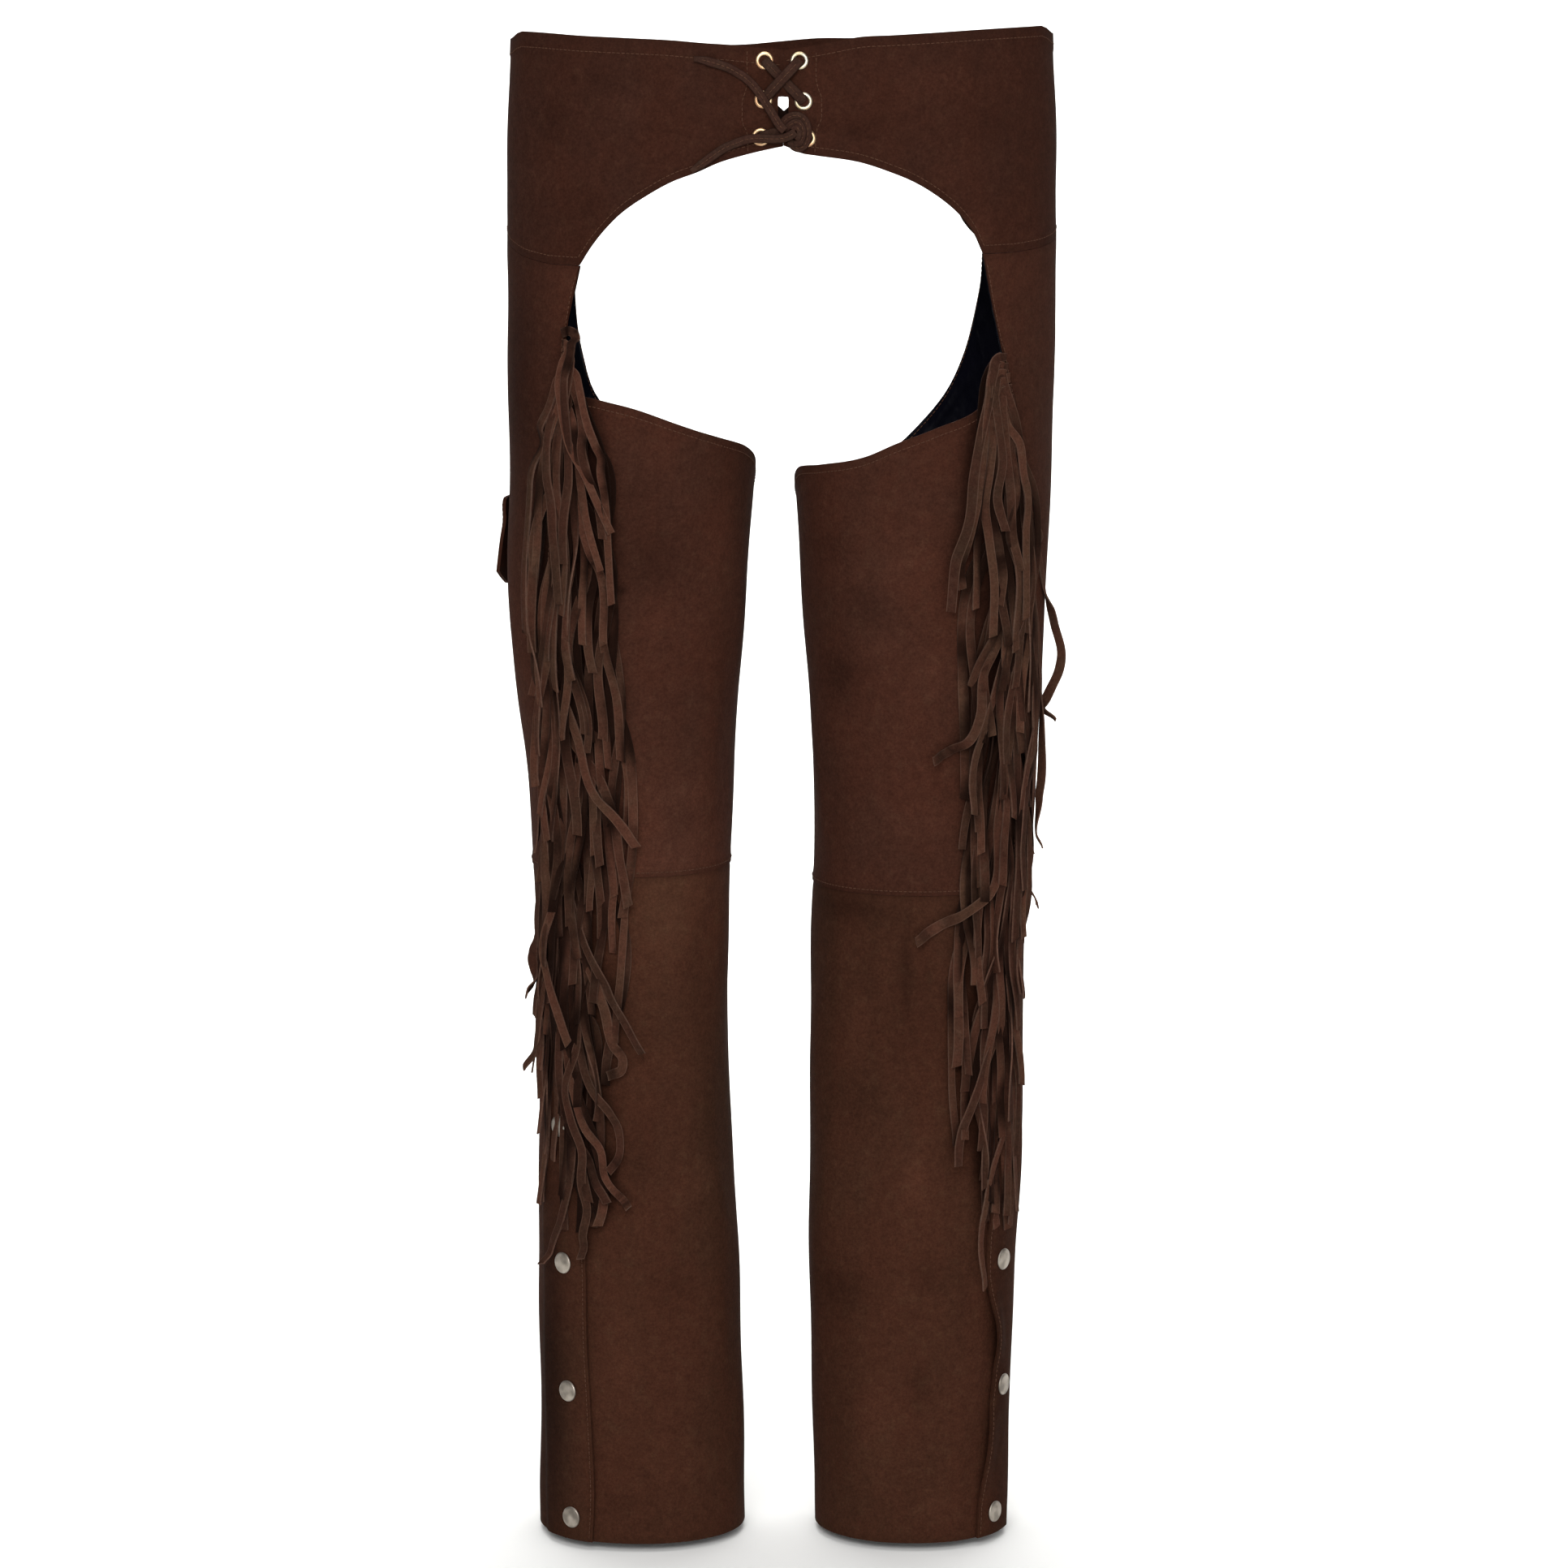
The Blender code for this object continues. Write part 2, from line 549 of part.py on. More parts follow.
def add_strand(bm, leg, start, root_height, lane, number):
    """Four-sided strand from a cell of the strip's side, flat against the leg, square at its tip."""
    angle, height, lift = strand_path(leg, root_height, lane, number)
    points, normal = leg_surface(leg, angle, height, lift)
    turn = leg["side"] * math.copysign(1.0, lane)
    before = start
    for i in range(1, len(points)):
        ahead = points[min(i + 1, len(points) - 1)] - points[i - 1]
        broad = turn * np.cross(ahead, normal[i])
        broad = broad / np.linalg.norm(broad) * 0.5 * STRAND_WIDTH
        thick = normal[i] * 0.5 * STRAND_THICK
        upper = points[i] + broad
        lower = points[i] - broad
        ring = [bm.verts.new(p) for p in (upper - thick, upper + thick, lower + thick, lower - thick)]
        for j in range(4):
            k = (j + 1) % 4
            bm.faces.new((before[j], before[k], ring[k], ring[j]))
        before = ring
    bm.faces.new(before)


# ------------------------------------------------------------------ lace

LACE_WIDTH = 4.0 * MM       # where it is drawn tight through the eyelets
LACE_END_WIDTH = 5.2 * MM   # its two loose ends
LACE_SIDES = 6
KNOT_CENTRE = (10.0, -65.0)             # across and height, mm
KNOT_SIZE = (9.5 * MM, 5.5 * MM, 12.0 * MM)     # half breadth, thickness and height
KNOT_SEAT = 1.9 * MM        # the knot rests on the flange of the lowest right eyelet
# Loose ends, as points across and up the yoke with the clearance of the centre line over it, mm.
LACE_END_UPPER = ((-2.2, -56.5, 9.5), (-6.5, -53.0, 8.6), (-12.0, -48.5, 7.4), (-17.2, -42.0, 6.4),
                  (-21.0, -35.0, 5.0), (-26.0, -29.0, 3.6), (-32.0, -24.8, 3.2), (-39.0, -21.2, 3.1),
                  (-47.0, -18.0, 3.0), (-55.0, -16.6, 3.0), (-64.0, -16.8, 3.0))
LACE_END_LOWER = ((-1.0, -69.0, 8.8), (-5.0, -70.2, 8.2), (-10.0, -70.6, 7.4), (-16.0, -70.6, 7.0),
                  (-22.0, -70.2, 5.6), (-28.0, -71.0, 3.8), (-35.0, -73.6, 3.1), (-42.0, -77.6, 3.0),
                  (-50.0, -82.8, 3.0), (-58.5, -88.2, 3.0), (-67.0, -91.4, 3.0))
# Tight run: through each eyelet in turn, and whether it passes in front or behind to the next,
# with the clearance of its centre line from the yoke's outer face halfway there, mm.
LACE_RUN = (("right", 3, -4.4), ("left", 2, 7.2), ("right", 1, -4.6), ("left", 1, 2.7),
            ("right", 2, -8.8), ("left", 3, 4.4))
LACE_TO_KNOT = (0.0, -62.0, 4.6)


def yoke_point(across, height, clear):
    """Point over the back of the yoke, clear millimetres outside its outer face."""
    name = "left" if across < 0 else "right"
    point, normal = eyelet_frame(name, across, height)
    return point + normal * clear * MM


def smooth_path(points, per_span):
    """Points of a smooth curve through the given ones."""
    points = np.array(points, float)
    reach = np.concatenate([[0.0], np.cumsum(np.linalg.norm(np.diff(points, axis=0), axis=1))])
    at = []
    for start, end in zip(reach[:-1], reach[1:]):
        at.extend(np.linspace(start, end, per_span, endpoint=False))
    at.append(reach[-1])
    return np.stack([soft_curve(at, reach, points[:, k]) for k in range(3)], axis=-1)


def lace_route():
    """The drawn lace, out of one lowest eyelet and into the other, crossing over and behind."""
    places = [eyelet_frame(name, *EYELETS[name][number - 1]) for name, number, _ in LACE_RUN]
    clearances = [clear for _, _, clear in LACE_RUN]
    route = [places[0][0] + places[0][1] * 1.0 * MM]
    inside = True
    for i, (centre, normal) in enumerate(places):
        after = places[i + 1][0] if i + 1 < len(places) else yoke_point(*LACE_TO_KNOT[:2], 0.0)
        ahead = (after - centre).normalized()
        sign = -1.0 if inside else 1.0
        seat = (WALL + GAP) / MM if inside else 0.0
        for along, clear in ((0.0, 0.4), (0.4, 1.3), (2.0, 3.4), (5.0, 4.2)):
            route.append(centre + (ahead * along + normal * sign * (clear + seat * min(1.0, clear))) * MM)
        if i + 1 < len(places):
            middle = 0.5 * (centre + after) + normal * clearances[i] * MM
            route.append(middle)
            back_normal = places[i + 1][1]
            for along, clear in ((5.0, 4.2), (2.0, 3.4), (0.4, 1.3)):
                route.append(after + (-ahead * along
                                      + back_normal * sign * (clear + seat * min(1.0, clear))) * MM)
        inside = not inside
    route.append(yoke_point(*LACE_TO_KNOT))
    return [tuple(p) for p in route]


def tube(name, path, radius, sides, material):
    """Closed round tube along a path, its rings kept from twisting."""
    path = [Vector(p) for p in path]
    bm = bmesh.new()
    across = (path[1] - path[0]).orthogonal().normalized()
    rings = []
    for i, point in enumerate(path):
        ahead = (path[min(i + 1, len(path) - 1)] - path[max(i - 1, 0)]).normalized()
        across = (across - ahead * across.dot(ahead)).normalized()
        other = ahead.cross(across)
        rings.append([bm.verts.new(point + radius * (across * math.cos(a) + other * math.sin(a)))
                      for a in np.linspace(0, 2 * math.pi, sides, endpoint=False)])
    for low, high in zip(rings, rings[1:]):
        for j in range(sides):
            k = (j + 1) % sides
            bm.faces.new((low[j], low[k], high[k], high[j]))
    bm.faces.new(rings[0])
    bm.faces.new(rings[-1])
    return add_object(name, bm, material, 60.0)


def cord(name, points, width, material):
    """Loose end of the lace: a bevelled poly curve along its own smooth route."""
    path = smooth_path([yoke_point(*p) for p in points], 2)
    curve = bpy.data.curves.new(name, "CURVE")
    curve.dimensions = "3D"
    curve.bevel_depth = 0.5 * width
    curve.bevel_resolution = 2
    curve.use_fill_caps = True
    spline = curve.splines.new("POLY")
    spline.points.add(len(path) - 1)
    spline.points.foreach_set("co", np.column_stack([path, np.ones(len(path))]).ravel())
    curve.materials.append(material)
    thing = bpy.data.objects.new(name, curve)
    bpy.context.scene.collection.objects.link(thing)
    return thing


def knot(name, material):
    """The drawn knot, a rounded lump seated on the lowest right eyelet."""
    seat, normal = eyelet_frame("right", *KNOT_CENTRE)
    bm = bmesh.new()
    bmesh.ops.create_uvsphere(bm, u_segments=12, v_segments=8, radius=1.0)
    turn = normal.to_track_quat("-Y", "Z")
    for vert in bm.verts:
        size = Vector(vert.co[k] * KNOT_SIZE[k] for k in range(3))
        vert.co = seat + normal * (KNOT_SEAT + KNOT_SIZE[1]) + turn @ size
    return add_object(name, bm, material, 80.0)


# ------------------------------------------------------------------ snaps

SNAP_HEIGHTS = (-752.0, -848.0, -939.0, -1029.0)    # down the calf, mm
SNAP_SIDES = 10
SNAP_RINGS = ((7.5, 0.0), (7.5, 0.8), (5.4, 1.8))   # radius, height of the domed cap, mm
SNAP_CROWN = 2.2


def snap(name, centre, axis, material):
    """Domed cap lying on the outside of the flap."""
    bm = bmesh.new()
    turn = axis.to_track_quat("Z", "Y")

    def place(x, y, z):
        return bm.verts.new(centre + turn @ (Vector((x, y, z)) * MM))

    rings = [[place(r * math.cos(a), r * math.sin(a), h)
              for a in np.linspace(0, 2 * math.pi, SNAP_SIDES, endpoint=False)]
             for r, h in SNAP_RINGS]
    bm.faces.new(rings[0])
    for low, high in zip(rings, rings[1:]):
        for j in range(SNAP_SIDES):
            k = (j + 1) % SNAP_SIDES
            bm.faces.new((low[j], low[k], high[k], high[j]))
    crown = place(0.0, 0.0, SNAP_CROWN)
    for j in range(SNAP_SIDES):
        bm.faces.new((rings[-1][j], rings[-1][(j + 1) % SNAP_SIDES], crown))
    return add_object(name, bm, material, 50.0)


# ------------------------------------------------------------------ pocket

POCKET_LEG = "left"
POCKET_ANGLES = (-12.0, -80.0)
POCKET_HEIGHTS = (-338.0, -470.0)
FLAP_ANGLES = (-5.0, -84.0)
FLAP_HEIGHTS = (-321.0, -383.0)
POCKET_SEAT = WALL + 0.7 * MM   # outer face of the patch over the thigh
FLAP_FLARE = 5.5 * MM       # how far the flap's outer corner stands off
FLAP_CORNER = 11.0          # how far that corner is cut away, mm


def pocket_pieces(material):
    leg = LEGS[POCKET_LEG]
    s = np.linspace(0.0, 1.0, 9)[None, :]
    t = np.linspace(0.0, 1.0, 5)[:, None]

    def rectangle(angles, heights):
        angle = angles[0] + (angles[1] - angles[0]) * s + 0 * t
        return np.stack([np.radians(angle), (heights[1] + (heights[0] - heights[1]) * t + 0 * s) * MM],
                        axis=-1)

    leg_wall("pocket", leg, rectangle(POCKET_ANGLES, POCKET_HEIGHTS), material, POCKET_SEAT)
    down = 1.0 - t
    lift = POCKET_SEAT * (1.0 + ease(down / 0.24)) + FLAP_FLARE * (1 - 0.7 * s) * down ** 1.3
    flap = rectangle(FLAP_ANGLES, FLAP_HEIGHTS)
    flap[..., 1] += FLAP_CORNER * MM * np.clip(1.0 - s / 0.2, 0.0, 1.0) * down
    leg_wall("pocket_flap", leg, flap, material, lift)


# ------------------------------------------------------------------ putting the chaps together

UPPER_ROWS = 7
FRONT_SHARE = 0.62          # where, across the knee, the columns under the yoke seam start
STRIP_SHARE = 0.72          # and end, so that no column crosses the curved edges beside it
CALF_ROWS = (-1029.0, -985.0, -939.0, -895.0, -848.0, -800.0, -752.0, -705.0, -672.0, -648.0,
             -617.0)        # heights of the rows below the knee, mm
KNEE_COLUMNS = 12


def leg_pieces(name, leg, suede, lining_cloth, nickel):
    inseam_back = math.radians(INSEAM_TURN) - SEAM_TURN
    inseam_front = math.radians(INSEAM_TURN - 360.0) + SEAM_TURN
    knee_up = leg["knee"] + 0.5 * GAP
    knee_down = leg["knee"] - 0.5 * GAP
    seam_at_knee = float(angle_at(leg["outseam"], leg["knee"]))

    top = front_top_line(leg)
    top[0, 0] = inseam_front
    top[-1, 0] = float(angle_at(leg["outseam"], top[-1, 1])) - SEAM_TURN
    corners = [0, OPENING_COLUMNS - 1, len(top) - 3, len(top) - 1]
    share = np.interp(np.arange(len(top)), corners, [0.0, FRONT_SHARE, STRIP_SHARE, 1.0])
    bottom = np.stack([inseam_front + share * (seam_at_knee - SEAM_TURN - inseam_front),
                       knee_up + 0 * share], axis=-1)
    back_top = table_line(leg["back_top"], KNEE_COLUMNS)
    seam_heights = np.linspace(knee_up, back_top[0, 1], UPPER_ROWS)
    front_heights = np.append(seam_heights, top[-1, 1])
    upper = coons(bottom, top, straight((inseam_front, knee_up), top[0], UPPER_ROWS + 1),
                  seam_side(leg["outseam"], front_heights, -SEAM_TURN))
    leg_wall("front_upper_" + name, leg, upper, suede)

    leg_wall("lining_" + name, leg, upper, lining_cloth, -WALL - GAP, LINING_WALL)

    bottom_back = straight((seam_at_knee + SEAM_TURN, knee_up), (inseam_back, knee_up), KNEE_COLUMNS)
    back_top[0, 0] = float(angle_at(leg["outseam"], back_top[0, 1])) + SEAM_TURN
    back_top[-1, 0] = inseam_back
    back = coons(bottom_back, back_top,
                 seam_side(leg["outseam"], seam_heights, SEAM_TURN),
                 straight((inseam_back, knee_up), back_top[-1], UPPER_ROWS))
    leg_wall("back_upper_" + name, leg, back, suede)

    heights = np.array([HEM, *(h * MM for h in CALF_ROWS), knee_down])
    has_flap = heights < FLAP_TOP
    seam = angle_at(leg["outseam"], heights)
    flap_edge = np.where(has_flap, angle_at(leg["flap_edge"], heights), seam) - SEAM_TURN
    underlap = np.where(has_flap, angle_at(leg["underlap"], heights), seam)
    step_out, step_in = underlap - math.radians(LAP_CLEAR), underlap - math.radians(LAP_CLEAR + LAP_STEP)
    angle = np.concatenate([np.linspace(inseam_front + 0 * step_in, step_in, 9, axis=1)[:, :-1],
                            np.linspace(step_in, step_out, 3, axis=1)[:, :-1],
                            np.linspace(step_out, flap_edge, 4, axis=1)], axis=1)
    front_low = np.stack([angle, heights[:, None] + 0 * angle], axis=-1)
    leg_wall("front_lower_" + name, leg, front_low, suede, flap_lift(leg, front_low))

    under = underlap + SEAM_TURN
    s = np.linspace(0.0, 1.0, KNEE_COLUMNS)[None, :]
    angle = under[:, None] + s * (inseam_back - under[:, None])
    leg_wall("back_lower_" + name, leg, np.stack([angle, heights[:, None] + 0 * angle], axis=-1), suede)

    fringe("fringe_" + name, leg, suede)
    for number, (height, turn) in enumerate(zip(SNAP_HEIGHTS, leg["snap_angles"]), 1):
        point, normal = leg_surface(leg, np.array(math.radians(turn)), np.array(height * MM),
                                    LAP_LIFT + GAP)
        snap("snap_%s_%d" % (name, number), Vector(point), Vector(normal), nickel)


def build():
    for old in list(bpy.data.objects):
        bpy.data.objects.remove(old, do_unlink=True)
    suede = finish_material("brown_suede", (0.045, 0.016, 0.010), 0.95)
    lining_cloth = finish_material("black_lining", (0.004, 0.004, 0.008), 0.6)
    nickel = finish_material("antique_nickel", (0.42, 0.39, 0.35), 0.35, 1.0)
    brass = finish_material("pale_brass", (0.72, 0.55, 0.34), 0.35, 1.0)
    lace_suede = finish_material("lace_suede", (0.042, 0.020, 0.013), 0.95)
    for name, leg in LEGS.items():
        grid = yoke_grid(name, leg)
        outer, normal = hips_surface(leg["side"], grid[..., 0], grid[..., 1])
        yoke = closed_wall("yoke_" + name, outer, outer - normal * WALL, suede)
        cut_eyelet_holes(yoke, name)
        leg_pieces(name, leg, suede, lining_cloth, nickel)
        for number, place in enumerate(EYELETS[name], 1):
            centre, axis = eyelet_frame(name, *place)
            turned_ring("eyelet_%s_%d" % (name, number), eyelet_profile(), centre, axis, brass)
    pocket_pieces(suede)
    tube("lace", lace_route(), 0.5 * LACE_WIDTH, LACE_SIDES, lace_suede)
    knot("lace_knot", lace_suede)
    cord("lace_end_upper", LACE_END_UPPER, LACE_END_WIDTH, lace_suede)
    cord("lace_end_lower", LACE_END_LOWER, LACE_END_WIDTH, lace_suede)


build()
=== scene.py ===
"""Fringed suede chaps seen from behind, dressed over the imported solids.

The back faces -Y and +Z is up.  Table lengths are millimetres and table angles are degrees.
"""
import math

import bpy
import numpy as np
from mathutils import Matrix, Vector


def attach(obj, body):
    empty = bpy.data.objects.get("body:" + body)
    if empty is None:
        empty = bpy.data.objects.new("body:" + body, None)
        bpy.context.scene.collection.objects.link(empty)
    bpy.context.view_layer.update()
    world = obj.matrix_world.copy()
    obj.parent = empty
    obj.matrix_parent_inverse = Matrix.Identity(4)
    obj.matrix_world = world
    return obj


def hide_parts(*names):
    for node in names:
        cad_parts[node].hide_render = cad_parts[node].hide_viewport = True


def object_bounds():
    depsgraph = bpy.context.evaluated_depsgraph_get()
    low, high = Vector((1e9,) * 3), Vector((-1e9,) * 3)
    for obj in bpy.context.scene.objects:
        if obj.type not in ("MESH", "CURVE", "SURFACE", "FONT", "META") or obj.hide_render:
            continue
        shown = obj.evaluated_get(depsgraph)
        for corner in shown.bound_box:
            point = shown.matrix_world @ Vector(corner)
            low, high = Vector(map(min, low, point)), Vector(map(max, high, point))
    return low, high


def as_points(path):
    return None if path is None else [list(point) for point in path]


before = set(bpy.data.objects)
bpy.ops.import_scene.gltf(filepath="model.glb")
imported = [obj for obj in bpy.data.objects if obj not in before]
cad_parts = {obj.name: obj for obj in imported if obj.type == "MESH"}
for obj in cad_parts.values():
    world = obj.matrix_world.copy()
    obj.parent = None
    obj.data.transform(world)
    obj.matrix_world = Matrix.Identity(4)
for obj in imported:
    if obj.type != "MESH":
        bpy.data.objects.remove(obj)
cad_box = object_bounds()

# ---------------- camera
# It stands four metres behind the chaps, a little above the waist, with a long lens that looks
# slightly down.

CAMERA_PLACE = (0.0, -4.0, 0.10)
CAMERA_TILT = 81.19  # degrees up from straight down
CAMERA_LENS = 133.7  # mm
CAMERA_SENSOR = 36.0  # mm
CAMERA_REACH = 50.0  # m


def add_camera():
    """Camera at its place, turned about X alone."""
    data = bpy.data.cameras.new("camera")
    data.lens = CAMERA_LENS
    data.sensor_width = CAMERA_SENSOR
    data.clip_end = CAMERA_REACH
    thing = bpy.data.objects.new("camera", data)
    thing.location = CAMERA_PLACE
    thing.rotation_euler = (math.radians(CAMERA_TILT), 0.0, 0.0)
    bpy.context.scene.collection.objects.link(thing)
    bpy.context.scene.camera = thing


add_camera()


# ---------------- the worn form
# Worn suede keeps its wearer's shape: one flattened oval round the waist and hips that parts into
# two rounder legs.  Every panel is cut to lie on this form.  A place on it is an angle round the
# leg, 0 straight out to the side and 90 at the centre back, and a height.

MM = 0.001
GAP = 0.3 * MM  # clearance between pieces that meet

# The waist and hips: half breadth and half depth at each height.
HIPS_CENTRE_X = -1.5 * MM
HIPS_SQUARENESS = 2.2
HIPS = {  # height: (half breadth, half depth)
    10: (184.0, 107.0),
    -60: (186.5, 111.0),
    -130: (188.0, 114.0),
    -200: (187.5, 113.0),
    -330: (187.5, 110.0),
}

# Each leg is a rounder oval whose centre and size drift from thigh to hem.
LEG_SQUARENESS = 2.1
LEGS = {
    "left": dict(
        side=-1.0,
        knee=-574.0 * MM,
        ovals={  # height: (centre x, half breadth, centre y, half depth)
            -140: (-104.0, 86.0, 0.0, 92.0),
            -290: (-104.5, 84.5, -2.0, 90.0),
            -400: (-108.5, 81.0, 0.0, 83.0),
            -510: (-106.5, 72.0, 2.0, 75.0),
            -655: (-106.0, 67.0, 2.0, 69.0),
            -740: (-104.5, 67.0, 0.0, 69.0),
            -860: (-102.0, 70.0, 0.0, 70.0),
            -1050: (-100.0, 72.5, 0.0, 71.0),
        },
        # angle of the fringed outer seam, from straight out (0) towards the back (90)
        outseam={-200: 58.0, -305: 56.0, -531: 48.0, -662: 43.0, -1050: 40.0},
        outseam_top=-205.0 * MM,
        flap_edge={-662: 43.0, -700: 50.0, -760: 59.0, -850: 61.0, -900: 61.0, -1010: 65.0, -1050: 63.0},
        underlap={-662: 43.0, -700: 38.0, -760: 33.0, -1050: 35.0},
        snap_angles=(44.0, 46.5, 48.5, 50.5),
        # strip of the front panel that shows behind, from the yoke down to the outer seam
        strip_edge={67.0: -155.0, 63.5: -168.0, 60.5: -187.0, 58.0: -205.0},
        back_top={58.0: -236.0, 62.0: -240.0, 77.0: -245.0, 92.0: -250.0, 112.0: -260.0,
                  137.0: -273.0, 154.0: -280.5, 169.0: -289.0, 180.0: -298.0, 190.0: -314.0},
        front_top={-59.0: -184.0, -60.5: -207.0, -64.0: -229.0, -70.0: -254.0, -84.0: -277.0,
                   -106.0: -294.0, -136.0: -307.0, -170.0: -314.0},
        yoke_corner_front=(-58.5, -152.0),
    ),
    "right": dict(
        side=1.0,
        knee=-587.0 * MM,
        ovals={
            -140: (96.0, 90.0, 0.0, 92.0),
            -290: (95.5, 88.5, -2.0, 90.0),
            -400: (97.0, 84.0, 0.0, 83.0),
            -510: (97.5, 77.5, 2.0, 75.0),
            -655: (93.0, 74.0, 2.0, 70.0),
            -740: (92.5, 74.5, 0.0, 70.0),
            -860: (90.0, 71.5, 0.0, 70.0),
            -1050: (89.5, 67.5, 0.0, 69.0),
        },
        outseam={-212: 54.5, -238: 51.0, -270: 45.5, -305: 41.5, -400: 40.0, -662: 38.0, -1050: 34.0},
        outseam_top=-212.0 * MM,
        flap_edge={-662: 38.0, -700: 41.0, -760: 44.0, -870: 46.0, -905: 41.0, -925: 40.0, -955: 42.0,
                   -1020: 50.0, -1050: 51.0},
        underlap={-662: 38.0, -700: 30.0, -760: 21.0, -1050: 21.0},
        snap_angles=(33.0, 34.0, 30.0, 37.0),
        strip_edge={65.7: -147.0, 64.5: -154.0, 62.5: -167.0, 54.5: -212.0},
        back_top={54.0: -220.0, 57.0: -228.0, 66.0: -250.0, 87.0: -264.0, 104.0: -274.0,
                  119.0: -284.0, 143.0: -291.5, 166.0: -297.0, 180.0: -307.0, 190.0: -316.0},
        front_top={-61.5: -173.0, -64.5: -197.0, -70.5: -229.0, -78.0: -253.0, -90.0: -276.0,
                   -105.0: -297.0, -136.0: -311.0, -170.0: -316.0},
        yoke_corner_front=(-61.0, -150.0),
    ),
}
INSEAM_TURN = 190.0  # the inner leg seam, measured round the back
HIP_ROW = -140  # the ovals' uppermost row, whose centre the hips are seen from
HIP_TOP = -160.0 * MM  # above this the leg panels lie on the hips oval
THIGH_TOP = -325.0 * MM  # below this they lie on the leg's own oval
INNER_START = math.radians(110.0)  # round the inner thigh the leg keeps its own oval
INNER_RUN = math.radians(45.0)
HIP_REACH = 92.0 * MM  # distance from leg centre to hips oval, near enough to find its angle
TURN_REACH = 75.0  # mm of cloth to a radian round the leg
INSIDE_TURN = TURN_REACH * MM
STEP_ROUND = 1e-3  # radians and metres between the places that give a normal
STEP_UP = 0.5 * MM


def soft_curve(at, xs, ys):
    """Smooth curve through the points (xs, ys): a cubic in each span, with averaged slopes."""
    xs = np.asarray(xs, float)
    ys = np.asarray(ys, float)
    if xs[0] > xs[-1]:
        xs = xs[::-1]
        ys = ys[::-1]
    slopes = np.gradient(ys, xs)
    at = np.clip(np.asarray(at, float), xs[0], xs[-1])
    span = np.clip(np.searchsorted(xs, at, side="right") - 1, 0, len(xs) - 2)
    width = xs[span + 1] - xs[span]
    t = (at - xs[span]) / width
    start = ys[span] * (1 + 2 * t) * (1 - t) ** 2 + slopes[span] * width * t * (1 - t) ** 2
    end = ys[span + 1] * (3 - 2 * t) * t ** 2 + slopes[span + 1] * width * t ** 2 * (t - 1)
    return start + end


def ease(t):
    """0 to 1 with flat ends."""
    t = np.clip(t, 0.0, 1.0)
    return t * t * (3.0 - 2.0 * t)


def unit(v):
    """Vectors divided by their own lengths."""
    return v / np.linalg.norm(v, axis=-1, keepdims=True)


def oval_radius(angle, half_x, half_y, squareness):
    """Distance from an oval's centre to its edge at an angle; 2 is an ellipse, more is squarer."""
    across = (np.abs(np.cos(angle)) / half_x) ** squareness
    along = (np.abs(np.sin(angle)) / half_y) ** squareness
    return (across + along) ** (-1.0 / squareness)


def column(table, index, height):
    """One column of a table of millimetre values, read at heights in metres."""
    rows = sorted(table)
    return soft_curve(np.asarray(height) / MM, rows, [table[r][index] for r in rows]) * MM


def angle_at(table, height):
    """A table of height: angle in degrees, read at heights in metres, in radians."""
    rows = sorted(table)
    return np.radians(soft_curve(np.asarray(height) / MM, rows, [table[r] for r in rows]))


def hips_point(side, angle, height):
    """Point on the hips oval; angle 0 is straight out to the side and 90 is the centre back."""
    radius = oval_radius(angle, column(HIPS, 0, height), column(HIPS, 1, height), HIPS_SQUARENESS)
    x = HIPS_CENTRE_X + side * radius * np.cos(angle)
    return np.stack([x, -radius * np.sin(angle), height + 0 * angle], axis=-1)


def hips_angle(leg, angle):
    """The angle round the hips that an angle round the leg's own centre looks towards."""
    offset = abs(leg["ovals"][HIP_ROW][0] * MM - HIPS_CENTRE_X)
    return np.arctan2(HIP_REACH * np.sin(angle), offset + HIP_REACH * np.cos(angle))


def leg_point(leg, angle, height):
    """Point of the leg's outer face: its own oval, melting into the hips oval above the thigh."""
    ovals = leg["ovals"]
    radius = oval_radius(angle, column(ovals, 1, height), column(ovals, 3, height), LEG_SQUARENESS)
    x = column(ovals, 0, height) + leg["side"] * radius * np.cos(angle)
    y = column(ovals, 2, height) - radius * np.sin(angle)
    own = np.stack([x, y, height + 0 * angle], axis=-1)
    share = ease((height - THIGH_TOP) / (HIP_TOP - THIGH_TOP))
    share = (share * (1.0 - ease((np.abs(angle) - INNER_START) / INNER_RUN)))[..., None]
    return own + share * (hips_point(leg["side"], hips_angle(leg, angle), height) - own)


def face_of(point_at, side):
    """A function of angle and height that gives points and outward normals, from one for points.

    The normal is the cross product of a small step round and a small step up.
    """
    def face(angle, height):
        along = point_at(angle + STEP_ROUND, height) - point_at(angle - STEP_ROUND, height)
        up = point_at(angle, height + STEP_UP) - point_at(angle, height - STEP_UP)
        return point_at(angle, height), unit(-side * np.cross(along, up))
    return face


def yoke_face(name):
    """The outer face of one half of the hips."""
    side = LEGS[name]["side"]
    return face_of(lambda angle, height: hips_point(side, angle, height), side)


def leg_face(name):
    """The outer face of one leg."""
    leg = LEGS[name]
    return face_of(lambda angle, height: leg_point(leg, angle, height), leg["side"])


# ---------------- yoke
# The yoke is a band of brown suede round the hips, cut in two halves.  They are sewn together at
# the centre front and laced at the centre back.  Its top edge is turned in and stitched, and the
# leg panels hang from its lower edge.

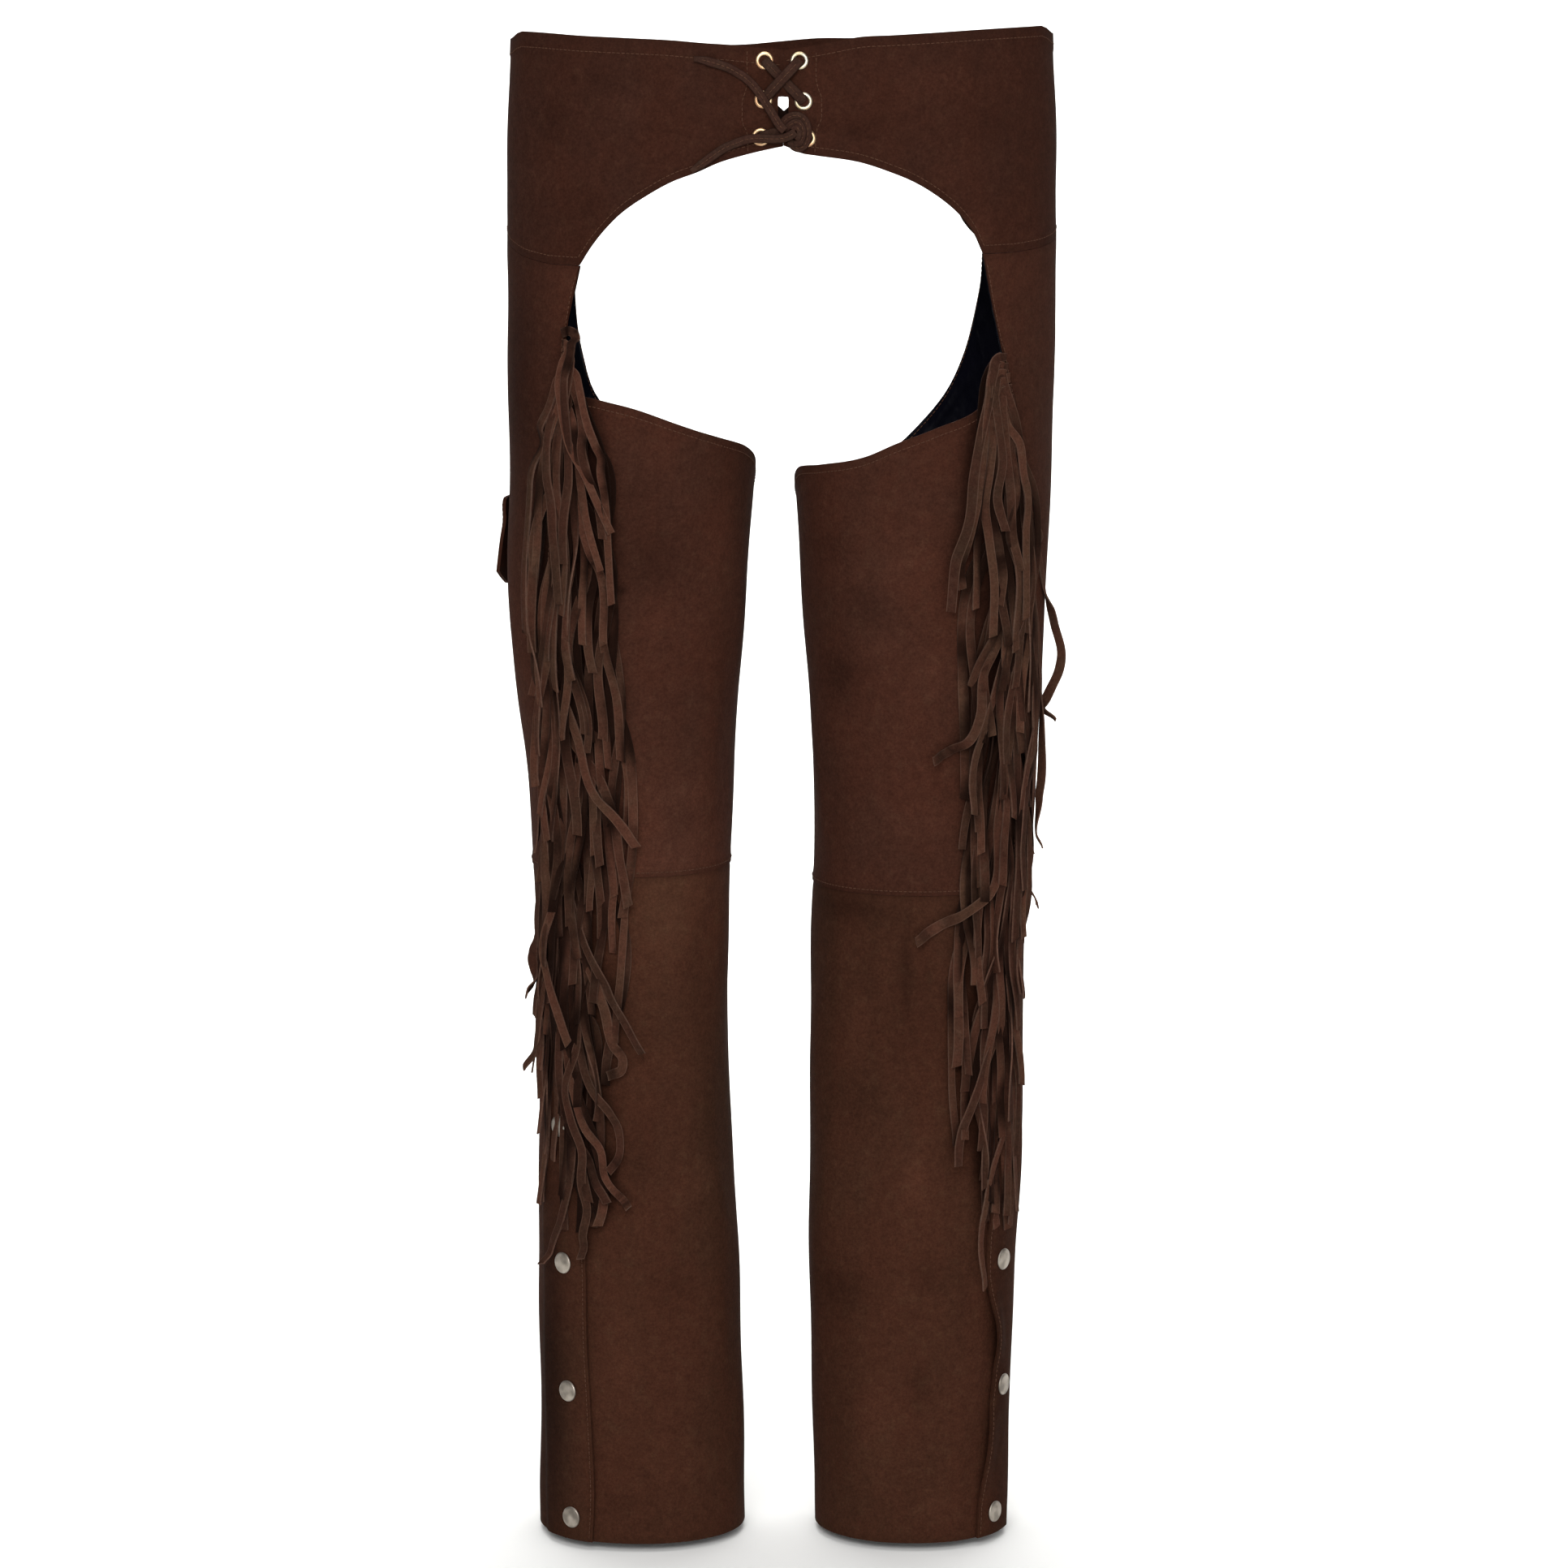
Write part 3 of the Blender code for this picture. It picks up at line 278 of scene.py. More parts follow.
WALL = 1.8 * MM  # thickness of the suede
YOKE_BOTTOM_BACK = {  # angle round the hips: height of the yoke's lower edge behind
    "left": {90.0: -74.0, 77.0: -80.0, 69.0: -85.0, 63.0: -91.0, 56.0: -97.0, 48.0: -108.0,
             42.5: -118.0, 38.0: -130.0, 34.5: -142.0},
    "right": {90.0: -77.0, 79.0: -80.0, 63.0: -85.5, 56.0: -91.0, 50.0: -97.0, 43.5: -107.0,
              38.5: -118.0, 34.8: -130.0},
}
YOKE_BOTTOM_FRONT = {-34.0: -138.0, -38.0: -118.0, -45.0: -95.0, -54.0: -75.0, -66.0: -59.0,
                     -78.0: -51.5, -90.0: -49.0}
YOKE_TOP = {  # angle round the hips: height of the waist edge; the right hip stands higher
    "left": {90.0: -10.2, 80.0: -8.6, 72.0: -7.0, 64.0: -6.0, 54.0: -4.2, 43.0: -3.0, 31.0: -1.8,
             18.0: 0.0, 6.0: 0.0, -6.0: -1.5, -18.0: -4.2, -31.0: -7.3, -43.0: -9.2, -56.0: -11.4,
             -66.0: -12.9, -76.0: -12.7, -90.0: -10.4},
    "right": {90.0: -10.9, 80.0: -8.0, 72.0: -5.2, 64.0: -2.0, 54.0: -0.9, 43.0: 0.5, 31.0: 2.3,
              18.0: 3.6, 6.0: 3.8, -6.0: 1.8, -18.0: -0.4, -31.0: -3.2, -43.0: -6.0, -56.0: -7.8,
              -66.0: -8.2, -76.0: -8.2, -90.0: -10.4},
}
PLACKET = {  # height: half width of the laced gap at the centre back
    -10: 0.02, -20: 0.02, -32: 0.1, -36: 1.0, -41: 3.1, -48: 3.4, -55: 3.1, -59: 1.2, -63: 0.05,
    -70: 0.02, -78: 0.02,
}
LACED_X = -0.5 * MM  # where the laced edges meet
YOKE_SEAM_SIDE = -138.0  # height of the yoke seam at the side of the hip
YOKE_COUNTS = (34, 24, 26)  # points along the seat edge, the yoke seam and the front edge
YOKE_CORNERS = (90.0, 31.0, -31.0, -90.0)  # angles where those three meet the top edge
YOKE_ROWS = 46
HEM_FOLD = 11.0 * MM  # the turned top edge, sewn down
HEM_RISE = 0.45 * MM
PLACKET_BAND = 23.0 * MM  # the doubled band that holds the eyelets
PLACKET_RISE = 0.4 * MM
SHOULDER_DROP = 5.5 * MM  # how far the top edge gives way where it turns round the hips
SHOULDER_RUN = 9.0 * MM
SHOULDER_DEPTH = 30.0 * MM
CORNER_CUT = 3.6 * MM  # the overlapping half's lower corner is cut back to the other's
CORNER_RUN = 13.0 * MM
YOKE_FOLDS = {  # across (angle x 75 mm), up, half length, half width, slope, bend, rise
    "left": (
        (112, -34, 34, 6.0, 52, 3, -1.1), (108, -52, 30, 5.0, 78, -2, 0.9),
        (104, -70, 30, 6.0, 100, 2, -1.0), (96, -30, 40, 9.0, 40, -4, 0.9),
        (70, -46, 36, 14.0, 15, 4, 0.9), (46, -70, 40, 16.0, -12, -3, -0.8),
        (14, -60, 44, 18.0, 6, 3, 0.9), (-30, -70, 40, 16.0, -8, 4, -0.9),
        (-60, -40, 30, 12.0, 20, 2, 0.8), (-96, -28, 22, 10.0, -14, -2, -0.9)),
    "right": (
        (112, -30, 34, 6.0, 128, 3, -0.9), (108, -55, 26, 5.0, 100, -2, 0.9),
        (103, -68, 26, 6.0, 78, 2, -0.8), (88, -40, 38, 10.0, -30, 3, 0.9),
        (64, -60, 38, 15.0, -10, -3, -0.9), (36, -50, 42, 17.0, 8, 4, 0.8),
        (-4, -66, 44, 18.0, -6, -3, 0.9), (-40, -60, 38, 14.0, 10, 3, -0.9),
        (-74, -36, 26, 12.0, -18, 2, 0.8)),
}
YOKE_SEED = {"left": 1.0, "right": 4.0}
# Where the nap is rubbed lighter (+) or lies darker (-) on the back, by amounts of about 1:
# rows of (across, height, half width, half height, amount).
WORN_YOKE = (
    (-154, -60, 9, 17, -0.4), (-108, -49, 17, 14, 0.3), (-121, -31, 14, 9, -0.3),
    (-163, -97, 11, 11, 0.3), (-133, -115, 14, 9, -0.3), (52, -64, 17, 9, -0.4),
    (91, -31, 23, 11, 0.4), (131, -133, 9, 17, 0.6), (139, -60, 14, 11, -0.3),
    (116, -91, 11, 11, 0.3), (164, -145, 9, 17, 0.3),
)
WORN_DEPTH = 25.0  # mm from the middle of the leg over which the patches turn over
EDGE_DEGREE = 1.3  # mm of cloth to a degree, near enough to spread an edge's points
EDGE_FINE = 60  # points of an edge's smooth curve
SEWN_DIP = 0.5 * MM  # how deep a sewn edge is pulled down,
SEWN_RUN = 1.4 * MM  # and how fast that dies out
PANELS = {}  # what later pieces need to know about each panel


def hex_rgb(code):
    """Linear colour of an sRGB code such as 8a6b4f, with an opacity of 1."""
    shares = [int(code[i:i + 2], 16) / 255.0 for i in (0, 2, 4)]
    return (*(s / 12.92 if s <= 0.04045 else ((s + 0.055) / 1.055) ** 2.4 for s in shares), 1.0)


def darker(colour, share):
    """A colour with its three channels multiplied by share."""
    return (*(share * c for c in colour[:3]), 1.0)


def new_material(name):
    """Material, its shader, and the one function that adds a node to it."""
    material = bpy.data.materials.new(name)
    material.use_nodes = True
    tree = material.node_tree

    def add(kind, inputs=None, output=0, **settings):
        """Adds a node, or takes one that is there, sets or links its inputs, and returns an output."""
        node = tree.nodes.new("ShaderNode" + kind) if isinstance(kind, str) else kind
        for key, value in settings.items():
            setattr(node, key, value)
        for key, value in (inputs or {}).items():
            if isinstance(value, bpy.types.NodeSocket):
                tree.links.new(value, node.inputs[key])
            else:
                node.inputs[key].default_value = value
        return node.outputs[output]

    return material, tree.nodes["Principled BSDF"], add


def drawn_to(add, colour, tint, value, low, high, most=1.0):
    """Colour drawn towards tint by up to most, as value goes with soft ends from low to high."""
    share = add("MapRange", {"Value": value, "From Min": low, "From Max": high, "To Max": most},
                interpolation_type="SMOOTHSTEP")
    return add("Mix", {0: share, 6: colour, 7: tint}, 2, data_type="RGBA")


def varied(add, colour, value, swing, middle=0.5):
    """Colour x (1 + 2 swing (value - middle))."""
    grey = add("MapRange", {"Value": value, "From Min": middle - 0.5, "From Max": middle + 0.5,
                            "To Min": 1.0 - swing, "To Max": 1.0 + swing}, clamp=False)
    return add("Mix", {0: 1.0, 6: colour, 7: grey}, 2, data_type="RGBA", blend_type="MULTIPLY")


SUEDE_GRAIN = {  # grain of napped suede: size in mm, detail, roughness
    "brushed": (38.5, 3.0, 0.55), "flecks": (8.33, 3.0, 0.6), "nap": (6.67, 4.0, 0.7),
    "dents": (3.03, 3.0, 0.6), "tufts": (1.92, 3.0, 0.8), "fibres": (1.11, 4.0, 0.7),
}
BRUSHED_UPRIGHT = (1.0, 1.0, 0.16)  # the brushed streaks are drawn out up and down
STRAND_DARK = (0.66, 0.66, 0.67, 1.0)  # a strand's own tone, from the darkest one
STRAND_LIGHT = (1.24, 1.22, 1.20, 1.0)  # to the lightest


def suede(name, red, olive, pale, mottle=90.9, streak=0.35, rim=0.0, strand=False, under=0.0):
    """Suede, the brushed flesh side of a hide: flat, matt and uneven, with no gloss.

    It goes from red to olive in clouds of mottle mm, mixed with upright brushed streaks.  Pale
    flecks lie on that, and nap, tufts and worn patches make it lighter and darker; on the legs
    some of those patches are painted light and shade.  Within rim metres of a cut edge it is
    pressed flat and darker.  Painted shade makes it darker by up to under where it is shut in
    under the fringe, between strands and down a lace's sides and underside.
    """
    material, shader, add = new_material(name)
    red, olive, pale = hex_rgb(red), hex_rgb(olive), hex_rgb(pale)
    place = add("TexCoord", output="Object")
    upright = add("Mapping", {"Vector": place, "Scale": BRUSHED_UPRIGHT})
    grain = {key: add("TexNoise", {"Vector": upright if key == "brushed" else place,
                                   "Scale": 1.0 / (size * MM), "Detail": detail, "Roughness": rough})
             for key, (size, detail, rough) in {"clouds": (mottle, 4.0, 0.62), **SUEDE_GRAIN}.items()}
    share = add("Mix", {0: streak, 2: grain["clouds"], 3: grain["brushed"]})
    colour = drawn_to(add, red, olive, share, 0.38, 0.66)
    colour = drawn_to(add, colour, pale, grain["flecks"], 0.50, 0.74, 0.13)
    colour = varied(add, colour, grain["nap"], 0.34)
    colour = varied(add, colour, grain["tufts"], 0.64)
    # worn patches, and on the legs broad painted light and shade too
    worn = add("Attribute", output="Fac", attribute_name="wear_and_shade")
    colour = varied(add, colour, worn, 0.24, 0.0)
    if strand:
        shade = add("Attribute", output="Fac", attribute_name="shade")
        own = drawn_to(add, STRAND_DARK, STRAND_LIGHT, shade, -1.0, 1.0)
        colour = add("Mix", {0: 1.0, 6: colour, 7: own}, 2, data_type="RGBA", blend_type="MULTIPLY")
        edge = add("Attribute", output="Fac", attribute_name="edge")
        colour = drawn_to(add, colour, pale, edge, 0.74, 1.0, 0.45)
    if rim:
        from_edge = add("Attribute", output="Fac", attribute_name="rim")
        colour = drawn_to(add, colour, darker(olive, 0.7), from_edge, rim, 0.0, 0.35)
    # painted shade: darker where fringe strands shut it in, on cloth under the fringe and down a lace's
    # sides
    if under:
        shut = add("Attribute", output="Fac", attribute_name="under")
        colour = drawn_to(add, colour, darker(red, 0.12), shut, 0.0, 1.0, under)
    height = add("Mix", {0: 0.45, 2: grain["fibres"], 3: grain["dents"]})
    bump = add("Bump", {"Height": height, "Strength": 0.5, "Distance": 0.9 * MM})
    add(shader, {"Base Color": colour, "Normal": bump, "Roughness": 0.95, "Specular IOR Level": 0.03,
                 "Sheen Weight": 0.03, "Sheen Roughness": 0.55, "Sheen Tint": pale})
    return material


YOKE_SUEDE = suede("yoke_suede", "321b13", "2f1b14", "473023", rim=10.0 * MM)


def mesh_object(name, points, faces, material, slot, node=None, uv=None, marks=None, sharp=40.0):
    """Piece riding on the root body, shown in place of a node; marks are named point attributes.

    Faces point outwards, and an edge between two that differ by more than sharp degrees is sharp.
    """
    mesh = bpy.data.meshes.new(name)
    mesh.from_pydata(np.asarray(points).tolist(), [], [tuple(f) for f in faces])
    mesh.validate()
    if uv is not None:
        layer = mesh.uv_layers.new(name="cloth")
        corner = np.empty(len(mesh.loops), dtype=np.int32)
        mesh.loops.foreach_get("vertex_index", corner)
        layer.data.foreach_set("uv", uv[corner].astype(np.float32).ravel())
    for mark, values in (marks or {}).items():
        add_mark(mesh, mark, values)
    mesh.shade_smooth()
    if sharp:
        mesh.set_sharp_from_angle(angle=math.radians(sharp))
    thing = bpy.data.objects.new(name, mesh)
    bpy.context.scene.collection.objects.link(thing)
    mesh.materials.append(material)
    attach(thing, "root")
    if node:
        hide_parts(node)
    return thing


def add_mark(mesh, mark, values):
    """Named value at each point, read by the material; points past the last value get 0."""
    every = np.zeros(len(mesh.vertices), np.float32)
    every[:len(values)] = values
    mesh.attributes.new(mark, "FLOAT", "POINT").data.foreach_set("value", every)


def swell(across, up, seed):
    """Gentle unevenness in -1..1: the mean of four slanted sine waves, 60 to 190 mm long."""
    total = 0.0
    for k, (wave, slant) in enumerate(((190.0, 0.3), (130.0, -0.7), (88.0, 0.9), (61.0, -0.2))):
        reach = across * math.cos(slant) + up * math.sin(slant)
        total = total + np.sin(2 * math.pi * reach / (wave * MM) + 1.7 * seed + 2.3 * k)
    return total / 4.0


def creases(across, up, table):
    """Height of listed folds: each is a bell across its own line, dying out along it.

    A row gives the middle (across, up), half length, half width, slope in degrees from upright,
    bend of the line and height (negative for a trough).  All lengths are millimetres.
    """
    total = 0.0 * across
    for middle_across, middle_up, half_length, half_width, slope, bend, rise in table:
        dx = across / MM - middle_across
        dz = up / MM - middle_up
        turn = math.radians(slope)
        along = dz * math.cos(turn) + dx * math.sin(turn)
        aside = dx * math.cos(turn) - dz * math.sin(turn)
        aside = aside - bend * ((along / half_length) ** 2 - 0.5)
        fade = np.clip(1.0 - (along / half_length) ** 2, 0.0, None) ** 1.5
        total = total + rise * MM * fade * np.exp(-(aside / half_width) ** 2)
    return total


def measures(points):
    """Distances of every grid point from its first row, last row, first and last column."""
    down = np.linalg.norm(np.diff(points, axis=0), axis=-1)
    over = np.linalg.norm(np.diff(points, axis=1), axis=-1)
    from_bottom = np.concatenate([np.zeros((1, points.shape[1])), np.cumsum(down, axis=0)])
    from_first = np.concatenate([np.zeros((points.shape[0], 1)), np.cumsum(over, axis=1)], axis=1)
    return {"bottom": from_bottom, "top": from_bottom[-1:] - from_bottom,
            "first": from_first, "last": from_first[:, -1:] - from_first}


def flat_area(points):
    """Area of a grid of points, from the two triangles of each cell."""
    a, b, c, d = points[:-1, :-1], points[:-1, 1:], points[1:, 1:], points[1:, :-1]
    first = np.linalg.norm(np.cross(b - a, c - a), axis=-1)
    second = np.linalg.norm(np.cross(c - a, d - a), axis=-1)
    return 0.5 * float(first.sum() + second.sum())


def grid_faces(rows, columns, flip):
    """Quads of a closed wall: outer grid, inner grid after it, and two strips round the rim.

    The rim has a line of points of its own, halfway through the wall, after both grids.
    """
    count = rows * columns
    index = np.arange(count).reshape(rows, columns)
    outer = np.stack([index[:-1, :-1], index[:-1, 1:], index[1:, 1:], index[1:, :-1]], -1).reshape(-1, 4)
    edge = np.concatenate([index[0, :-1], index[:-1, -1], index[-1, :0:-1], index[:0:-1, 0]])
    middle = 2 * count + np.arange(len(edge))
    after, middle_after = np.roll(edge, -1), np.roll(middle, -1)
    rim = np.stack([np.stack([after, edge, middle, middle_after], -1),
                    np.stack([middle_after, middle, edge + count, after + count], -1)], axis=1)
    faces = np.concatenate([outer, outer[:, ::-1] + count, rim.reshape(-1, 4)])
    return (faces[:, ::-1] if flip else faces), edge


def cloth_panel(node, surface, grid, lift, relief, material, slot="brown_suede", wall=WALL, tuck=()):
    """Thin closed wall on its solid's form, with its folds; tuck names edges sewn down.

    surface(angle, height) gives points and outward normals.  The outer face is moved by lift +
    relief - dip, where dip = SEWN_DIP exp(-distance / SEWN_RUN) at each tucked edge.  The inner face
    is a wall's thickness behind it.
    """
    base, normal = surface(grid[..., 0], grid[..., 1])
    reach = measures(base)
    dip = sum(SEWN_DIP * np.exp(-reach[edge] / SEWN_RUN) for edge in tuck)
    outer = base + normal * (lift + relief - dip)[..., None]
    inner = outer - normal * wall
    rows, columns = base.shape[:2]
    i, j = rows // 2, columns // 2
    side = np.cross(outer[i, j + 1] - outer[i, j], outer[i + 1, j] - outer[i, j]) @ normal[i, j]
    faces, edge = grid_faces(rows, columns, side < 0)
    outer_points, inner_points = outer.reshape(-1, 3), inner.reshape(-1, 3)
    middle = 0.5 * (outer_points[edge] + inner_points[edge])
    points = np.concatenate([outer_points, inner_points, middle])
    near = np.minimum.reduce(list(reach.values())).reshape(-1)
    uv = (grid * (INSIDE_TURN, 1.0)).reshape(-1, 2)
    thing = mesh_object(node + "_cloth", points, faces, material, slot, node,
                        np.concatenate([uv, uv + 3.0, uv[edge]]), {"rim": np.append(near, near)}, 50.0)
    PANELS[node] = dict(thing=thing, points=outer, normal=normal, reach=reach, grid=grid,
                        area=flat_area(base))


def edge_line(points, count):
    """Angles (radians) and heights (m) of count points spread evenly along a cut edge."""
    points = np.array([(math.radians(a) * TURN_REACH, h) for a, h in points])
    steps = np.linalg.norm(np.diff(points, axis=0), axis=1)
    reach = np.concatenate([[0.0], np.cumsum(steps)])
    at = np.linspace(0.0, reach[-1], count)
    angle = np.interp(at, reach, points[:, 0]) / TURN_REACH
    height = np.interp(at, reach, points[:, 1]) * MM
    return np.stack([angle, height], axis=-1)


def table_line(table, count):
    """A cut edge given as angle: height, smoothed, and spread evenly along its length."""
    angles = list(table)
    heights = [table[a] for a in angles]
    steps = np.hypot(np.diff(angles) * EDGE_DEGREE, np.diff(heights))
    reach = np.concatenate([[0.0], np.cumsum(steps)])
    at = np.linspace(0.0, reach[-1], EDGE_FINE)
    fine = np.stack([soft_curve(at, reach, angles), soft_curve(at, reach, heights)], axis=-1)
    return edge_line(fine, count)


def yoke_seam_points(leg):
    """The yoke seam from its front corner over the hip to its back corner, as angle, height.

    It falls away from the hip's highest point as sin(1.15 x quarter turn x share of the way).
    """
    front = leg["yoke_corner_front"]
    back = next(iter(leg["strip_edge"].items()))
    points = []
    for share in np.linspace(-1.0, 1.0, 9):
        angle, height = front if share < 0 else back
        drop = math.sin(0.5 * math.pi * min(1.0, abs(share) * 1.15))
        points.append((abs(share) * angle, YOKE_SEAM_SIDE + (height - YOKE_SEAM_SIDE) * drop))
    return points


def yoke_grid(name, leg):
    """Angles and heights of one half, from the laced back edge round the hip to the front seam.

    Rows go straight from the lower edge to the top edge.
    """
    front_angle, front_height = leg["yoke_corner_front"]
    back_angle, back_height = next(iter(leg["strip_edge"].items()))
    front_angle, back_angle = (math.degrees(hips_angle(leg, math.radians(a)))
                               for a in (front_angle, back_angle))
    first = table_line({**YOKE_BOTTOM_BACK[name], back_angle: back_height}, YOKE_COUNTS[0])
    seam = edge_line(reversed(yoke_seam_points(leg)), YOKE_COUNTS[1])
    seam[:, 0] = hips_angle(leg, seam[:, 0])
    last = table_line({front_angle: front_height, **YOKE_BOTTOM_FRONT}, YOKE_COUNTS[2])
    for corner in (first[-1], last[0]):
        corner[1] += 0.5 * GAP
    seam[:, 1] += 0.5 * GAP
    bottom = np.concatenate([first[:-1], seam, last[1:]])
    corners = [0, len(first) - 1, len(first) + len(seam) - 2, len(bottom) - 1]
    angles = np.interp(np.arange(len(bottom)), corners, YOKE_CORNERS)
    angles = 0.5 * (angles + np.degrees(bottom[:, 0]))
    edge = YOKE_TOP[name]
    heights = soft_curve(-angles, [-a for a in edge], list(edge.values()))
    top = np.stack([np.radians(angles), heights * MM], axis=-1)
    t = np.linspace(0.0, 1.0, YOKE_ROWS)[:, None, None]
    grid = (1 - t) * bottom[None] + t * top[None]
    heights = sorted(PLACKET)
    gap = soft_curve(grid[:, 0, 1] / MM, heights, [PLACKET[h] for h in heights]) * MM
    reach = gap + leg["side"] * (LACED_X - HIPS_CENTRE_X)
    grid[:, 0, 0] = math.radians(90.0) - reach / column(HIPS, 1, grid[:, 0, 1])
    grid[:, -1, 0] = math.radians(-90.0)
    return grid


def raised_band(reach, width, height, soft=1.6 * MM):
    """A folded or doubled strip along an edge, as high as height and rounded at its far side."""
    return height * ease((width - reach) / soft + 1.0)


def fine_yoke(name, leg):
    """One yoke half: turned top edge, pressed seat edge, soft pulls running to the eyelets."""
    grid = yoke_grid(name, leg)
    base = hips_point(leg["side"], grid[..., 0], grid[..., 1])
    reach = measures(base)
    aside = np.abs(base[..., 0] - HIPS_CENTRE_X)
    at_side = ease((aside - aside.max(axis=1, keepdims=True) + SHOULDER_RUN) / SHOULDER_RUN)
    grid[..., 1] -= SHOULDER_DROP * at_side * ease(1.0 - reach["top"] / SHOULDER_DEPTH)
    if name == "right":
        at_corner = ease(1.0 - reach["first"] / CORNER_RUN) * ease(1.0 - reach["bottom"] / CORNER_RUN)
        grid[..., 1] += CORNER_CUT * at_corner
    across, up = grid[..., 0] * INSIDE_TURN, grid[..., 1]
    reach = measures(hips_point(leg["side"], grid[..., 0], up))
    soft = 0.8 * MM * swell(across, up, YOKE_SEED[name]) * ease(reach["top"] / (40 * MM))
    hem = raised_band(reach["top"], HEM_FOLD, HEM_RISE, 1.5 * MM)
    placket = raised_band(reach["first"], PLACKET_BAND, PLACKET_RISE, 1.5 * MM)
    calm = ease(reach["bottom"] / (14 * MM)) * ease(reach["first"] / (9 * MM))
    calm = calm * ease(reach["last"] / (12 * MM))
    relief = (creases(across, up, YOKE_FOLDS[name]) + soft) * calm + np.maximum(hem, placket)
    cloth_panel("yoke_" + name, yoke_face(name), grid, 0.0, relief, YOKE_SUEDE)


def wear_and_shade(node, rows):
    """Marks a piece's worn patches as a sum of soft ovals: amount x exp(-across^2 - up^2).

    Each is read in half widths and half heights; the front has the same places, turned over.  On
    the legs some of the ovals are painted light and shade.
    """
    mesh = PANELS[node]["thing"].data
    points = np.empty(3 * len(mesh.vertices), np.float32)
    mesh.vertices.foreach_get("co", points)
    x, y, z = points.reshape(-1, 3).T / MM
    value = sum(amount * np.exp(-((x - across) / wide) ** 2 - ((z - height) / tall) ** 2)
                for across, height, wide, tall, amount in rows)
    add_mark(mesh, "wear_and_shade", value * np.tanh(-y / WORN_DEPTH))


for side_name, side_leg in LEGS.items():
    fine_yoke(side_name, side_leg)
    wear_and_shade("yoke_" + side_name, WORN_YOKE)


# ---------------- thigh panels
# Two suede panels cover each thigh: a wide one in front that wraps round the outer side, and a back
# one that ends under the seat.  They are sewn together down the inner leg and, over the fringe's
# roots, down the outer seam, and fold over the calf panels at the knee.

HEM = -1045.0 * MM
SEAM_TURN = 0.5 * GAP / (72.0 * MM)  # half a seam gap as an angle round the leg
OPENING_COLUMNS = 40  # points along the front opening,
SEAM_COLUMNS = 24  # along the yoke seam
STRIP_COLUMNS = 12  # and along the strip that shows behind
FRONT_SHARE = 0.62  # where, across the knee, the columns under the yoke seam start
STRIP_SHARE = 0.72  # and end
FRONT_ROWS = 112
BACK_ROWS = 92
BACK_COLUMNS = 70
OPENING_TURN = 7.0 * MM  # turned edge of the openings
OPENING_RISE = 0.35 * MM
SEAM_LAP = 5.0 * MM  # the thigh panel folds over the calf panel at the knee
SEAM_RISE = 0.5 * MM
FRINGE_LAP = 7.0 * MM  # the front panel's edge lies over the roots of the fringe
FRINGE_RISE = 1.2 * MM
FRONT_CALM = ("first", "last", "top")  # edges of the front panel where its folds die out
CALM_RUN = 14.0 * MM

